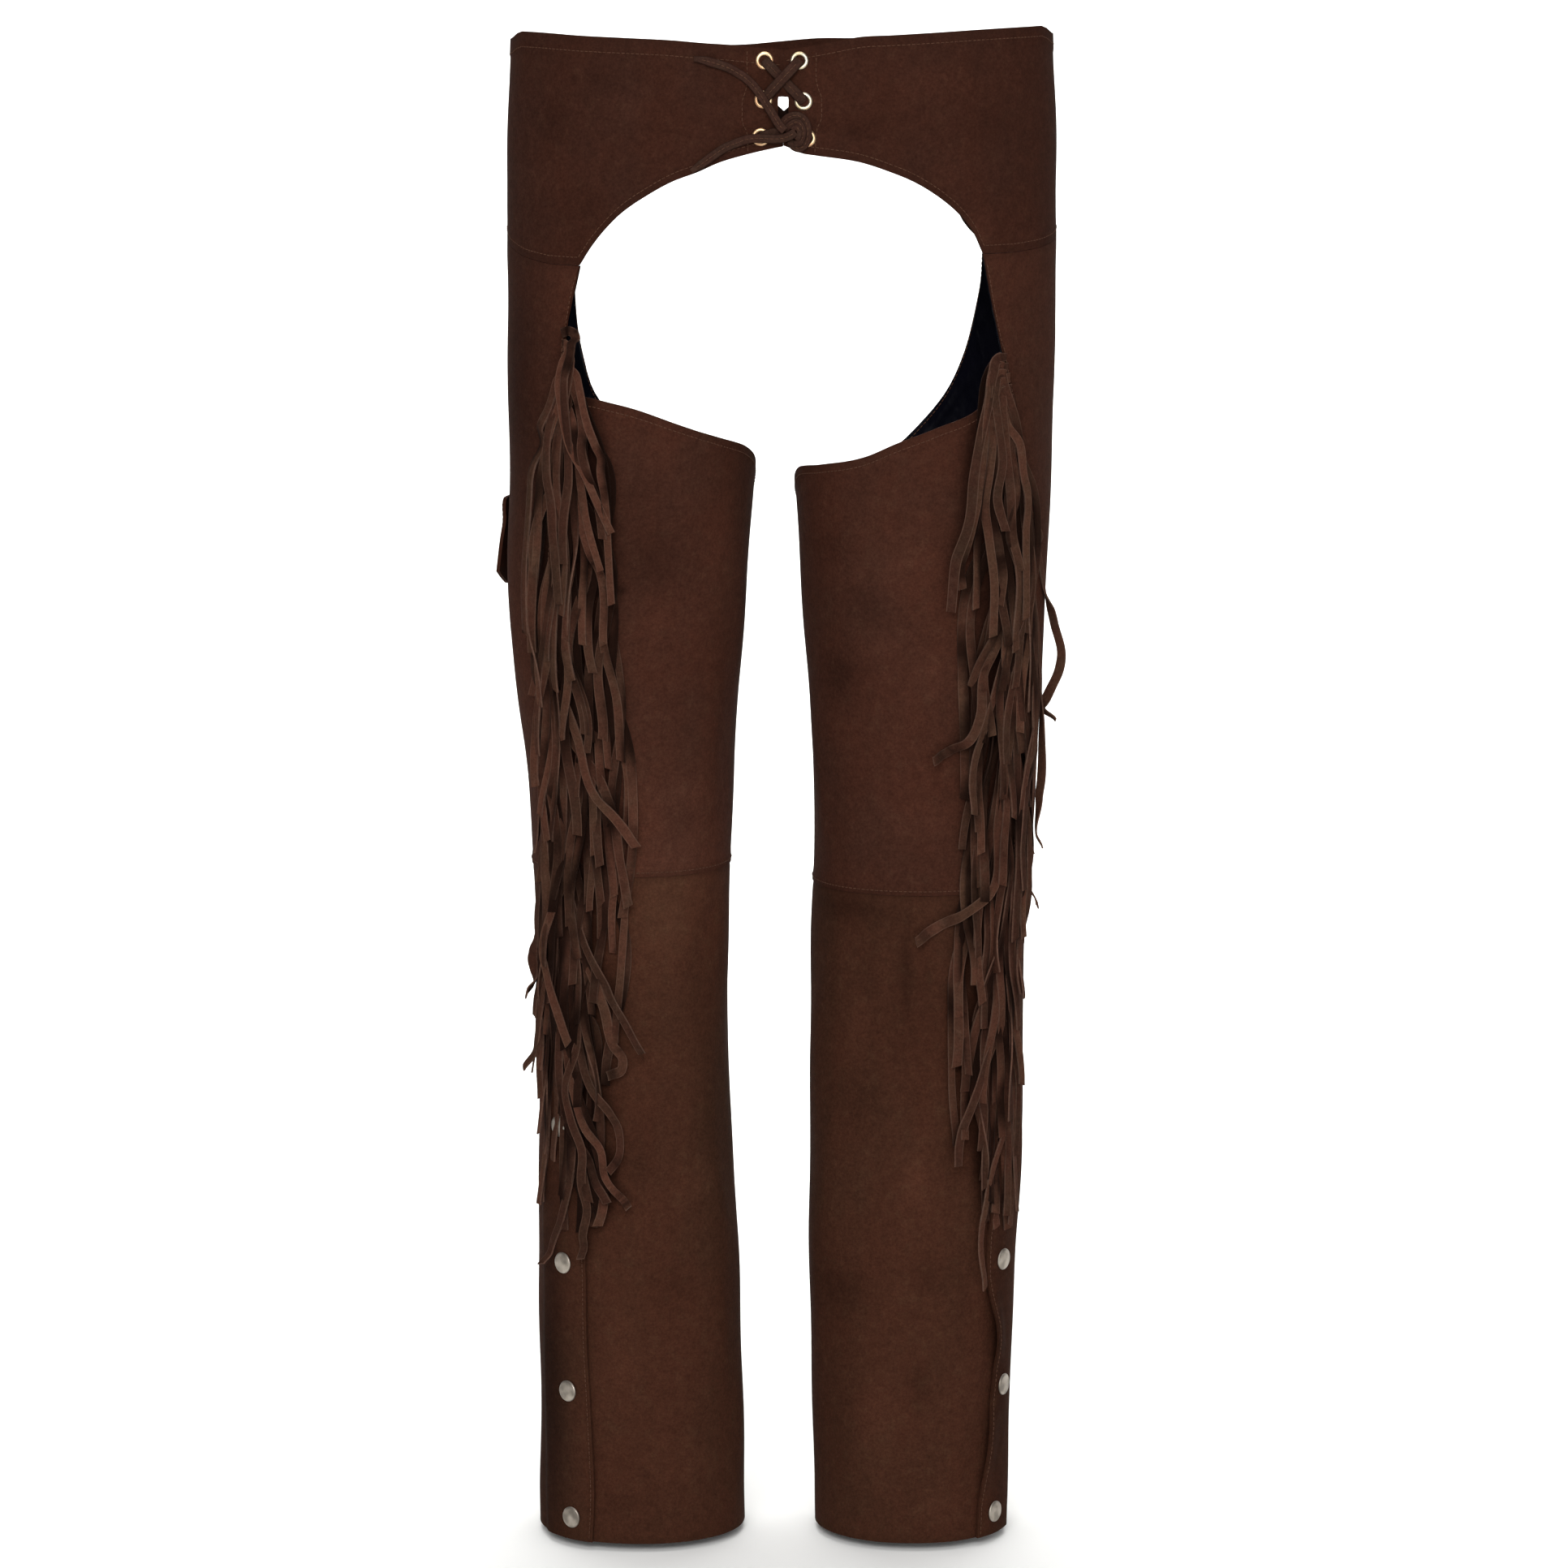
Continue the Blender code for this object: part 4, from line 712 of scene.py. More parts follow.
# Folds of each leg, by angle x 75 mm round from the outer side (the back is 118, the front -118).
LEG_FOLDS = {  # across, up, half length, half width, slope, bend, rise
    "left": (
        # thigh, behind
        (96, -388, 26, 7, -18, 3, -1.3), (118, -350, 62, 16, 4, 4, 1.2),
        (150, -420, 90, 18, -4, -5, -1.3), (178, -380, 70, 14, 6, 4, 1.4),
        (205, -470, 90, 15, 2, 5, -1.6), (128, -492, 60, 15, 10, -4, 1.2),
        (164, -528, 44, 13, -32, 5, -1.2), (110, -548, 30, 10, -60, 3, 1.1),
        (216, -400, 60, 13, -6, 3, 1.3),
        # knee and calf, behind
        (124, -622, 40, 12, 20, 5, -1.6), (150, -640, 52, 14, -16, -6, 1.6),
        (186, -618, 40, 12, 24, 4, -1.5), (138, -698, 34, 9, 66, 6, -1.4),
        (112, -690, 44, 12, -10, 4, 1.4), (141, -765, 60, 11, 2, 4, -1.6),
        (170, -735, 60, 14, 8, -5, 1.5), (206, -760, 80, 14, -4, 5, -1.5),
        (118, -840, 70, 13, -4, -4, 1.3), (152, -880, 80, 15, 3, 4, -1.3),
        (186, -900, 80, 15, -2, -4, 1.4), (104, -930, 60, 11, 4, 3, -1.2),
        (122, -1006, 44, 8, 58, -4, 1.3), (140, -1000, 40, 8, 62, 3, -1.1),
        (214, -960, 60, 14, 2, 4, 1.2),
        # outer side and front
        (20, -380, 70, 14, -6, 4, 1.4), (-20, -430, 80, 16, 8, -5, -1.5),
        (-60, -400, 70, 15, -4, 4, 1.4), (-110, -380, 60, 16, 16, 5, -1.6),
        (-150, -420, 70, 15, -8, -4, 1.5), (-190, -450, 70, 14, 6, 4, -1.4),
        (-90, -520, 46, 12, 68, 5, -1.8), (-118, -548, 52, 11, 82, -5, 1.9),
        (-140, -600, 50, 12, 96, 5, -1.9), (-100, -632, 46, 12, 80, -4, 1.7),
        (-60, -640, 40, 12, 58, 4, -1.4), (-30, -760, 80, 14, 4, 4, 1.3),
        (-80, -800, 80, 16, -6, -4, -1.4), (-120, -780, 80, 16, 4, 5, 1.4),
        (-160, -820, 80, 15, -3, 4, -1.4), (-200, -780, 70, 14, 6, -4, 1.4),
        (-110, -940, 70, 14, 10, 4, -1.3), (-60, -960, 60, 13, -8, -4, 1.3),
        (20, -900, 70, 12, 2, 3, -1.0)),
    "right": (
        # thigh, behind
        (92, -330, 40, 12, 10, 4, -1.2), (120, -372, 66, 15, -6, -4, 1.3),
        (150, -352, 40, 12, -40, 4, -1.2), (176, -420, 80, 16, 4, 5, 1.4),
        (206, -400, 70, 14, -4, -4, -1.4), (130, -455, 60, 14, 22, 5, -1.4),
        (100, -480, 50, 13, -14, -4, 1.3), (160, -510, 54, 13, -36, 4, 1.2),
        (196, -520, 50, 12, 12, 5, -1.3), (116, -540, 36, 11, 58, 4, -1.2),
        # knee and calf, behind
        (86, -630, 40, 8, 6, 7, -2.4), (98, -640, 46, 9, -4, -6, 1.9),
        (118, -690, 70, 10, 2, 5, -1.9), (136, -700, 76, 12, -3, -5, 1.9),
        (74, -690, 50, 8, 10, 6, -1.9), (160, -660, 60, 13, 14, 5, -1.5),
        (190, -640, 50, 12, -18, 4, 1.4), (110, -790, 60, 11, -6, 5, 1.5),
        (84, -800, 60, 9, 5, -4, -1.6), (152, -800, 80, 14, 4, 4, -1.5),
        (186, -780, 80, 15, -5, -4, 1.5), (76, -866, 34, 8, 28, 5, -3.2),
        (92, -880, 44, 9, 12, -4, 2.4), (112, -930, 70, 12, -3, 4, -1.4),
        (148, -900, 80, 16, 4, -5, 1.4), (184, -930, 80, 15, -2, 4, -1.4),
        (84, -980, 56, 8, 2, 3, 1.6), (132, -1000, 44, 9, 60, 4, -1.2),
        (214, -860, 80, 14, 2, 4, 1.3), (214, -500, 60, 13, 4, 3, 1.2),
        # outer side and front
        (22, -360, 70, 14, 6, -4, 1.4), (-18, -410, 80, 16, -8, 5, -1.5),
        (-58, -380, 70, 15, 4, -4, 1.4), (-108, -400, 60, 16, -14, 5, -1.6),
        (-148, -400, 70, 15, 8, 4, 1.5), (-188, -440, 70, 14, -6, -4, -1.4),
        (-86, -530, 46, 12, -66, 5, -1.8), (-116, -560, 52, 11, -84, 5, 1.9),
        (-136, -612, 50, 12, 84, 5, -1.9), (-96, -640, 46, 12, -78, 4, 1.7),
        (-56, -650, 40, 12, -56, -4, -1.4), (-28, -770, 80, 14, -4, 4, 1.3),
        (-78, -790, 80, 16, 6, 4, -1.4), (-118, -800, 80, 16, -4, -5, 1.4),
        (-158, -830, 80, 15, 3, -4, -1.4), (-198, -800, 70, 14, -6, 4, 1.4),
        (-108, -950, 70, 14, -10, -4, -1.3), (-58, -950, 60, 13, 8, 4, 1.3),
        (14, -880, 70, 10, -2, 3, -1.2)),
}
LEG_SEED = {"left": 2.0, "right": 5.0}
KNEE_CALM = 10.0 * MM  # folds fade out over this distance from the knee seam
HEM_CALM = 30.0 * MM
WORN_AND_SHADED_LEG = {  # worn patches, as WORN_YOKE, with painted light and shade in each leg's last rows
    "left": (
        (-89, -353, 20, 26, -0.6), (-110, -374, 4, 3, -1.2), (-40, -359, 11, 46, 0.5),
        (-79, -396, 23, 14, 0.2), (-97, -310, 14, 17, -0.3), (-80, -517, 28, 5, 0.4),
        (-64, -534, 23, 4, -0.3), (-80, -614, 17, 17, 0.3), (-59, -788, 11, 14, 0.5),
        (-99, -766, 9, 23, -0.4), (-112, -912, 11, 23, 0.3), (-75, -862, 17, 17, -0.3),
        # The last rows are broad: painted light over the knee at (-72, -565), and painted shade down the
        # outer side at (-186, -235) and (-165, -940).
        (-65, -990, 17, 11, 0.3), (-112, -1016, 17, 7, -0.3), (-72, -565, 60, 62, 0.9),
        (-186, -235, 22, 95, -1.2), (-165, -940, 14, 150, -1.5),
    ),
    "right": (
        (40, -436, 14, 17, -0.7), (56, -384, 17, 14, -0.4), (74, -359, 23, 23, 0.4),
        (98, -433, 14, 23, 0.4), (68, -415, 11, 9, 0.4), (35, -347, 14, 9, -0.4),
        (93, -533, 23, 11, 0.3), (43, -598, 26, 11, -0.7), (84, -639, 4, 34, -0.5),
        (69, -647, 4, 28, 0.3), (50, -677, 14, 28, 0.3), (91, -785, 11, 23, 0.5),
        (50, -734, 17, 17, -0.3), (41, -868, 20, 17, -0.6), (100, -855, 11, 11, -0.5),
        (66, -964, 14, 34, 0.4), (94, -932, 7, 17, -0.4), (107, -1016, 11, 11, 0.3),
        # The last two rows are broad: (70, -660) darkens the upper calf, and (152, -940) is painted shade
        # down the outer side.
        (70, -660, 60, 70, -0.4), (152, -940, 10, 150, -1.0),
    ),
}

# its under mark is painted shadow where the fringe covers the cloth
THIGH_SUEDE = suede("thigh_suede", "3a2017", "351f17", "4e3729", rim=7.0 * MM, under=0.8)


def coons(bottom, top, first, last):
    """Grid of (angle, height) between four cut edges, blended straight across from each pair."""
    rows = len(first)
    columns = len(bottom)
    s = np.linspace(0.0, 1.0, columns)[None, :, None]
    t = np.linspace(0.0, 1.0, rows)[:, None, None]
    ruled = (1 - t) * bottom[None] + t * top[None] + (1 - s) * first[:, None] + s * last[:, None]
    corners = ((1 - s) * (1 - t) * bottom[0] + s * (1 - t) * bottom[-1]
               + (1 - s) * t * top[0] + s * t * top[-1])
    return ruled - corners


def straight(start, end, count):
    """Points spread evenly on a straight line."""
    t = np.linspace(0.0, 1.0, count)[:, None]
    return (1 - t) * np.array(start) + t * np.array(end)


def seam_side(angle_table, heights, turn):
    """A near-upright edge that follows a table of height: angle, moved round by turn."""
    return np.stack([angle_at(angle_table, heights) + turn, heights], axis=-1)


def inseam(side):
    """Angle of a panel's edge at the inner leg seam: the back panel's (1) or the front's (-1)."""
    return math.radians(INSEAM_TURN if side > 0 else INSEAM_TURN - 360.0) - side * SEAM_TURN


def front_top_line(leg):
    """Top edge of the front panel: crotch to yoke, along the yoke seam, then down the strip."""
    front = dict(reversed(list(leg["front_top"].items())))
    corner_angle, corner_height = leg["yoke_corner_front"]
    front[corner_angle] = corner_height
    opening = table_line(front, OPENING_COLUMNS)
    strip = table_line(leg["strip_edge"], STRIP_COLUMNS)
    seam = edge_line(yoke_seam_points(leg), SEAM_COLUMNS)
    seam[:, 1] -= 0.5 * GAP
    opening[-1, 1] -= 0.5 * GAP
    strip[0, 1] -= 0.5 * GAP
    return np.concatenate([opening[:-1], seam, strip[1:]])


def leg_relief(name, angle, height):
    """Height of the folds and the gentle unevenness anywhere on a leg."""
    across = angle * INSIDE_TURN
    folds = creases(across, height, LEG_FOLDS[name]) + 1.5 * MM * swell(across, height, LEG_SEED[name])
    knee = ease(np.abs(height - LEGS[name]["knee"]) / KNEE_CALM)
    return folds * (0.25 + 0.75 * knee) * (0.4 + 0.6 * ease((height - HEM) / HEM_CALM))


def edge_calm(reach, edges):
    """0 at the named edges to 1 beyond CALM_RUN, so that folds meet a seam level on both sides."""
    return math.prod(ease(reach[edge] / CALM_RUN) for edge in edges)


def panel_form(name, grid, edges):
    """Distances from a leg panel's edges, and its folds, which die out at the named edges."""
    reach = measures(leg_point(LEGS[name], grid[..., 0], grid[..., 1]))
    return reach, leg_relief(name, grid[..., 0], grid[..., 1]) * edge_calm(reach, edges)


def front_thigh(name, leg):
    """Grid between the knee, the opening and yoke seam, the inner seam and the outer seam."""
    start, knee = inseam(-1), leg["knee"] + 0.5 * GAP
    top = front_top_line(leg)
    top[0, 0] = start
    top[-1, 0] = float(angle_at(leg["outseam"], top[-1, 1])) - SEAM_TURN
    corners = [0, OPENING_COLUMNS - 1, len(top) - STRIP_COLUMNS, len(top) - 1]
    share = np.interp(np.arange(len(top)), corners, [0.0, FRONT_SHARE, STRIP_SHARE, 1.0])
    outer = float(angle_at(leg["outseam"], leg["knee"])) - SEAM_TURN
    bottom = np.stack([start + share * (outer - start), knee + 0 * share], axis=-1)
    heights = np.linspace(knee, top[-1, 1], FRONT_ROWS)
    grid = coons(bottom, top, straight((start, knee), top[0], FRONT_ROWS),
                 seam_side(leg["outseam"], heights, -SEAM_TURN))
    reach, relief = panel_form(name, grid, FRONT_CALM)
    bands = np.maximum(raised_band(reach["bottom"], SEAM_LAP, SEAM_RISE),
                       raised_band(reach["last"], FRINGE_LAP, FRINGE_RISE))
    cloth_panel("front_upper_" + name, leg_face(name), grid, 0.0, relief + bands, THIGH_SUEDE,
                tuck=("first",))


def back_thigh(name, leg):
    """Grid between the knee, the edge under the seat, the outer seam and the inner seam."""
    end, knee = inseam(1), leg["knee"] + 0.5 * GAP
    top = table_line(leg["back_top"], BACK_COLUMNS)
    top[0, 0] = float(angle_at(leg["outseam"], top[0, 1])) + SEAM_TURN
    top[-1, 0] = end
    outer = float(angle_at(leg["outseam"], leg["knee"])) + SEAM_TURN
    heights = np.linspace(knee, top[0, 1], BACK_ROWS)
    grid = coons(straight((outer, knee), (end, knee), BACK_COLUMNS), top,
                 seam_side(leg["outseam"], heights, SEAM_TURN), straight((end, knee), top[-1], BACK_ROWS))
    reach, relief = panel_form(name, grid, ("first", "last"))
    bands = np.maximum(raised_band(reach["bottom"], SEAM_LAP, SEAM_RISE),
                       raised_band(reach["top"], OPENING_TURN, OPENING_RISE))
    cloth_panel("back_upper_" + name, leg_face(name), grid, 0.0, relief + bands, THIGH_SUEDE,
                tuck=("first", "last"))


for side_name, side_leg in LEGS.items():
    front_thigh(side_name, side_leg)
    back_thigh(side_name, side_leg)
    for panel in ("front_upper_", "back_upper_"):
        wear_and_shade(panel + side_name, WORN_AND_SHADED_LEG[side_name])


# ---------------- lining
# The front thigh panels are lined with black acetate, cut as the panel and sewn to it round the
# edge.  It lies loose between, so it crumples and bulges inwards.

LINING_WALL = 1.0 * MM
CRUMPLE_LIMIT = 6.0 * MM
CRUMPLE_SHARE = 1.2  # how much higher than listed a fold of the lining stands
LINING_FOLDS = {  # across, up, half length, half width, slope, bend, rise
    "left": (
        (-70, -215, 40, 5, 30, 3, 2.0), (-100, -250, 50, 6, -25, 4, 2.2), (-60, -260, 60, 7, 8, 4, 1.8),
        (-20, -240, 60, 8, -12, 3, 2.0), (-130, -300, 40, 6, 50, 3, 1.8), (30, -260, 50, 7, 10, 3, 1.6),
        (-90, -320, 50, 7, 70, 4, 2.0), (-40, -330, 60, 8, -60, 4, 1.8)),
    "right": (
        (-72, -220, 40, 5, -28, 3, 2.0), (-96, -258, 46, 6, 35, 4, 2.4), (-60, -275, 60, 7, -10, 4, 2.0),
        (-110, -290, 36, 5, -55, 3, 2.2), (-30, -250, 60, 8, 14, 3, 2.0), (-84, -305, 40, 6, 62, 3, 2.0),
        (20, -270, 50, 7, -8, 3, 1.6), (-50, -330, 60, 8, 64, 4, 1.8)),
}


def lining_cloth():
    """Acetate satin: near-black and smooth, with faint clouds, a soft crumple and a close weave."""
    material, shader, add = new_material("lining_cloth")
    place = add("TexCoord", output="Object")
    drape = add("Mapping", {"Vector": place, "Scale": (1.0, 1.0, 0.45)})
    clouds, crumple, weave = (
        add("TexNoise", {"Vector": at, "Scale": 1.0 / (size * MM), "Detail": detail, "Roughness": rough})
        for at, size, detail, rough in
        ((place, 55.6, 3.0, 0.5), (drape, 16.7, 3.0, 0.55), (place, 0.385, 1.0, 0.5)))
    colour = drawn_to(add, hex_rgb("020206"), hex_rgb("05050c"), clouds, 0.38, 0.66)
    height = add("Math", {0: weave, 1: 0.03, 2: crumple}, operation="MULTIPLY_ADD")
    bump = add("Bump", {"Height": height, "Strength": 0.7, "Distance": 4.0 * MM})
    add(shader, {"Base Color": colour, "Normal": bump, "Roughness": 0.45, "Specular IOR Level": 0.03})
    return material


LINING = lining_cloth()


def add_lining(name):
    """The front thigh panel's grid again, one gap inside it, less the crumples."""
    front = PANELS["front_upper_" + name]
    grid, reach = front["grid"], front["reach"]
    relief = panel_form(name, grid, FRONT_CALM)[1]
    folds = creases(grid[..., 0] * INSIDE_TURN, grid[..., 1], LINING_FOLDS[name])
    crumple = np.minimum(CRUMPLE_SHARE * np.abs(folds), CRUMPLE_LIMIT) * edge_calm(reach, ("top", "last"))
    cloth_panel("lining_" + name, leg_face(name), grid, -WALL - GAP, relief - crumple, LINING,
                "black_lining", LINING_WALL)


for side_name in LEGS:
    add_lining(side_name)


# ---------------- calf panels
# Two suede panels make each calf.  The front one's outer edge is a stiffened flap that laps over
# the back one and snaps to it; between the snaps its free edge stands off.

LOW_ROWS = 128
WRAP_COLUMNS = 72  # front calf panel, from the inner seam to the flap's step
STEP_COLUMNS = 8  # over the step
FLAP_COLUMNS = 12  # and out to the flap's edge
LAP_CLEAR = 3.0  # the flap is clear this many degrees before the back panel's edge
LAP_STEP = 9.0  # and rises over this many
LAP_LIFT = WALL + 2.0 * GAP
LAP_TOP = -648.0 * MM  # the lap begins under the fringe
FLAP_TOP = -675.0 * MM  # and from here down the two panels' edges pass each other
FLAP_BAND = 22.0 * MM  # width of the flap's stiffened edge
FLAP_RISE = 0.35 * MM
FLAP_BEND = 16.0 * MM  # the flap bends up over this distance from its free edge
FLAP_WAVES = {  # height, half length, how far the flap's free edge stands off
    "left": ((-800, 40, 0.9), (-894, 38, 0.8), (-985, 40, 1.0)),
    "right": ((-795, 36, 2.5), (-893, 36, 5.5), (-985, 38, 4.0)),
}

# its under mark is painted shadow where the fringe covers the cloth
CALF_SUEDE = suede("calf_suede", "3a2117", "362117", "4f3a29", streak=0.5, rim=7.0 * MM, under=0.8)


def flap_lift(leg, grid):
    """How far the front panel rides outwards to lap over the back panel beside the snaps."""
    height = grid[..., 1]
    before_lap = angle_at(leg["underlap"], height) - grid[..., 0]
    near_edge = ease(1.0 - (before_lap / math.radians(1.0) - LAP_CLEAR) / LAP_STEP)
    below_fringe = ease((LAP_TOP - height) / (20.0 * MM))
    return LAP_LIFT * near_edge * below_fringe


def standing_edge(name, height, from_edge):
    """How far the flap's free edge stands off: (1 - (distance / half length)^2)^1.5 at each wave."""
    total = 0.0
    for middle, half, rise in FLAP_WAVES[name]:
        bell = np.clip(1.0 - ((height / MM - middle) / half) ** 2, 0.0, None) ** 1.5
        total = total + rise * MM * bell * ease(1.0 - from_edge / FLAP_BEND)
    return total


def calf_panels(name, leg):
    """Rows are level, from hem to knee; the columns turn round the leg between the edges there."""
    heights = np.linspace(HEM, leg["knee"] - 0.5 * GAP, LOW_ROWS)
    seam = angle_at(leg["outseam"], heights)
    has_flap = heights < FLAP_TOP
    flap_edge = np.where(has_flap, angle_at(leg["flap_edge"], heights), seam) - SEAM_TURN
    underlap = np.where(has_flap, angle_at(leg["underlap"], heights), seam)
    step_out = underlap - math.radians(LAP_CLEAR)
    step_in = underlap - math.radians(LAP_CLEAR + LAP_STEP)
    angle = np.concatenate([
        np.linspace(inseam(-1) + 0 * step_in, step_in, WRAP_COLUMNS, axis=1)[:, :-1],
        np.linspace(step_in, step_out, STEP_COLUMNS, axis=1)[:, :-1],
        np.linspace(step_out, flap_edge, FLAP_COLUMNS, axis=1)], axis=1)
    front = np.stack([angle, heights[:, None] + 0 * angle], axis=-1)
    reach, relief = panel_form(name, front, ("first",))
    band = raised_band(reach["last"], FLAP_BAND, FLAP_RISE) * ease((LAP_TOP - front[..., 1]) / (30 * MM))
    relief = relief + standing_edge(name, front[..., 1], reach["last"]) + band
    cloth_panel("front_lower_" + name, leg_face(name), front, flap_lift(leg, front), relief, CALF_SUEDE,
                tuck=("first", "top"))

    angle = np.linspace(underlap + SEAM_TURN, inseam(1) + 0 * underlap, BACK_COLUMNS, axis=1)
    back = np.stack([angle, heights[:, None] + 0 * angle], axis=-1)
    relief = panel_form(name, back, ("last",))[1]
    cloth_panel("back_lower_" + name, leg_face(name), back, 0.0, relief, CALF_SUEDE, tuck=("last", "top"))


for side_name, side_leg in LEGS.items():
    calf_panels(side_name, side_leg)
    for panel in ("front_lower_", "back_lower_"):
        wear_and_shade(panel + side_name, WORN_AND_SHADED_LEG[side_name])


# ---------------- lace
# A flat suede lace, sewn down its middle, draws the yoke's back edges together through six eyelets.
# It is tied in a soft knot below the lowest pair, and its two free ends lie out over the left half.

EYELETS = {  # centres on the back of the yoke: across, height
    "left": ((-12.9, -17.5), (-13.7, -43.2), (-15.4, -67.8)),
    "right": ((10.2, -17.5), (12.9, -44.3), (15.1, -68.6)),
}
LACE_GROOVE = 0.45 * MM  # depth of the sewn line down its middle
GROOVE_RUN = 0.6 * MM  # half width of that line
LACE_END_WIDTH = 6.0 * MM
LACE_END_THICK = 2.7 * MM
LACE_TAPER = 0.35  # how much narrower a cut end gets
RUN_WIDTH = 7.2 * MM  # the drawn lace: spread flat between the holes,
RUN_THICK = 2.5 * MM
RUN_BUNCH = 0.22  # and bunched up by this share in them
# Loose ends, as points across and up the yoke with the clearance of the middle line over it.
LACE_END_UPPER = ((0.5, -63.7, 9.6), (-2.1, -61.2, 9.4), (-5.5, -56.3, 8.8), (-8.5, -51.1, 8.0),
                  (-11.5, -46.6, 7.2), (-14.2, -42.1, 6.6), (-16.8, -38.3, 5.6), (-21.0, -33.1, 4.4),
                  (-25.5, -29.0, 3.4), (-30.0, -26.0, 2.9), (-35.3, -23.0, 2.8), (-41.3, -20.7, 3.1),
                  (-47.3, -18.9, 3.6), (-53.4, -17.3, 3.2), (-59.0, -16.6, 2.6))
LACE_END_LOWER = ((7.4, -64.6, 8.8), (4.7, -66.5, 9.2), (0.2, -68.4, 8.6), (-5.1, -69.1, 7.8),
                  (-10.4, -69.0, 7.0), (-15.7, -68.7, 6.4), (-21.0, -68.9, 5.2), (-27.0, -70.2, 3.8),
                  (-33.1, -72.5, 3.0), (-39.1, -75.1, 2.8), (-44.4, -78.5, 3.0), (-49.0, -81.9, 3.4),
                  (-53.5, -85.3, 3.2), (-57.3, -87.9, 2.8), (-61.0, -90.6, 2.5))
KNOT = (  # its turns, from the outer one in: (points, width, thickness)
    (((-1.4, -60.8, 3.4), (0.2, -57.5, 3.6), (3.5, -54.7, 3.9), (7.7, -53.7, 4.3), (11.9, -55.2, 4.8),
      (14.6, -59.0, 5.2), (15.6, -63.9, 5.5), (15.2, -69.1, 5.3), (13.2, -73.4, 4.8), (10.0, -75.2, 4.4),
      (6.6, -74.0, 4.2), (4.0, -70.4, 4.2)), 5.6, 3.6),
    (((0.6, -63.4, 5.2), (4.6, -59.6, 6.0), (8.4, -58.0, 6.8), (11.2, -60.2, 7.4), (12.2, -64.2, 7.6),
      (11.8, -68.6, 7.2), (9.8, -71.8, 6.4), (7.0, -72.2, 5.6)), 4.8, 3.4),
    (((5.4, -63.2, 7.8), (8.0, -61.6, 8.4), (9.8, -63.6, 8.8), (9.9, -67.0, 8.6), (8.2, -69.6, 7.6)),
     3.8, 3.2),
)
# Tight run: through each eyelet in turn, and the clearance of its middle line halfway to the next.
LACE_RUN = (("right", 3, -4.4), ("left", 2, 6.4), ("right", 1, -4.6), ("left", 1, 2.6),
            ("right", 2, -8.8), ("left", 3, 4.2))
LACE_TO_KNOT = (-2.0, -64.0)
KNOT_CLEAR = 4.4  # clearance of the run where it goes into the knot
HOLE_ROWS = ((0.2, 0.9), (1.6, 2.6), (4.6, 3.6))  # out of a hole: distance along, clearance
HOLE_SEAT = 2.0  # how much deeper the run lies where it passes inside
YOKE_DEPTH = 108.5 * MM  # about the hips' half depth there, near enough to find a place's angle
STRAP_SIDES = 16  # points round a strap's section
STITCH_PITCH = 3.4 * MM
STITCH_LENGTH = 2.7 * MM
THREAD = 0.34 * MM  # radius
THREAD_SIDES = 5
STITCH_PROFILE = np.array([  # along, rise, size: in stitch lengths and thread radii
    (-0.5, -0.45, 0.55), (-0.3, 0.25, 0.95), (0.0, 0.45, 1.0), (0.3, 0.25, 0.95), (0.5, -0.45, 0.55)])

# its under mark is painted shade down the lace's sides and underside
LACE_SUEDE = suede("lace_suede", "33201a", "30221b", "4a372b", 16.7, under=0.85)


def thread_material():
    """Polyester sewing thread, twisted: matt brown with a fine roll of lighter and darker fibre."""
    material, shader, add = new_material("thread")
    place = add("TexCoord", output="Object")
    twist = add("TexNoise", {"Vector": place, "Scale": 1.0 / (0.455 * MM), "Detail": 2.0, "Roughness": 0.5})
    colour = drawn_to(add, hex_rgb("3a241a"), hex_rgb("583e30"), twist, 0.35, 0.65)
    bump = add("Bump", {"Height": twist, "Strength": 0.6, "Distance": 0.2 * MM})
    add(shader, {"Base Color": colour, "Normal": bump, "Roughness": 0.95, "Specular IOR Level": 0.05})
    return material


THREAD_BROWN = thread_material()


def join_parts(parts):
    """One list of points and faces from many."""
    points = []
    faces = []
    base = 0
    for some_points, some_faces in parts:
        points.append(some_points)
        faces.extend([tuple(i + base for i in f) for f in some_faces])
        base += len(some_points)
    return np.concatenate(points), faces


def stitches(points, normals):
    """Row of thread stitches: five-sided capsules along the line that sink at both ends.

    Ring point = middle + ahead x along + up x rise + radius x (across cos + up sin).
    """
    steps = np.linalg.norm(np.diff(points, axis=0), axis=1)
    reach = np.concatenate([[0.0], np.cumsum(steps)])

    def at(distances, rows):
        return np.stack([np.interp(distances, reach, rows[:, k]) for k in range(3)], axis=-1)

    middles = np.arange(STITCH_PITCH, reach[-1] - STITCH_PITCH, STITCH_PITCH)
    here = at(middles, points)
    ahead = unit(at(middles + 1.0 * MM, points) - here)
    up = unit(at(middles, normals))
    across = np.cross(up, ahead)
    along, rise, size = STITCH_PROFILE.T[:, None, :, None]
    centre = here[:, None] + ahead[:, None] * along * STITCH_LENGTH + up[:, None] * rise * THREAD
    turn = 2 * math.pi * np.arange(THREAD_SIDES)[:, None] / THREAD_SIDES
    around = across[:, None] * np.cos(turn) + up[:, None] * np.sin(turn)
    rings = centre[:, :, None] + THREAD * size[..., None] * around[:, None]
    index = np.arange(len(STITCH_PROFILE) * THREAD_SIDES).reshape(-1, THREAD_SIDES)
    after = np.roll(index, -1, axis=1)
    quads = np.stack([index[:-1], after[:-1], after[1:], index[1:]], -1).reshape(-1, 4)
    shell = quads.tolist() + [index[0, ::-1].tolist(), index[-1].tolist()]
    faces = [[i + k * index.size for i in face] for k in range(len(middles)) for face in shell]
    return [(rings.reshape(-1, 3), faces)]


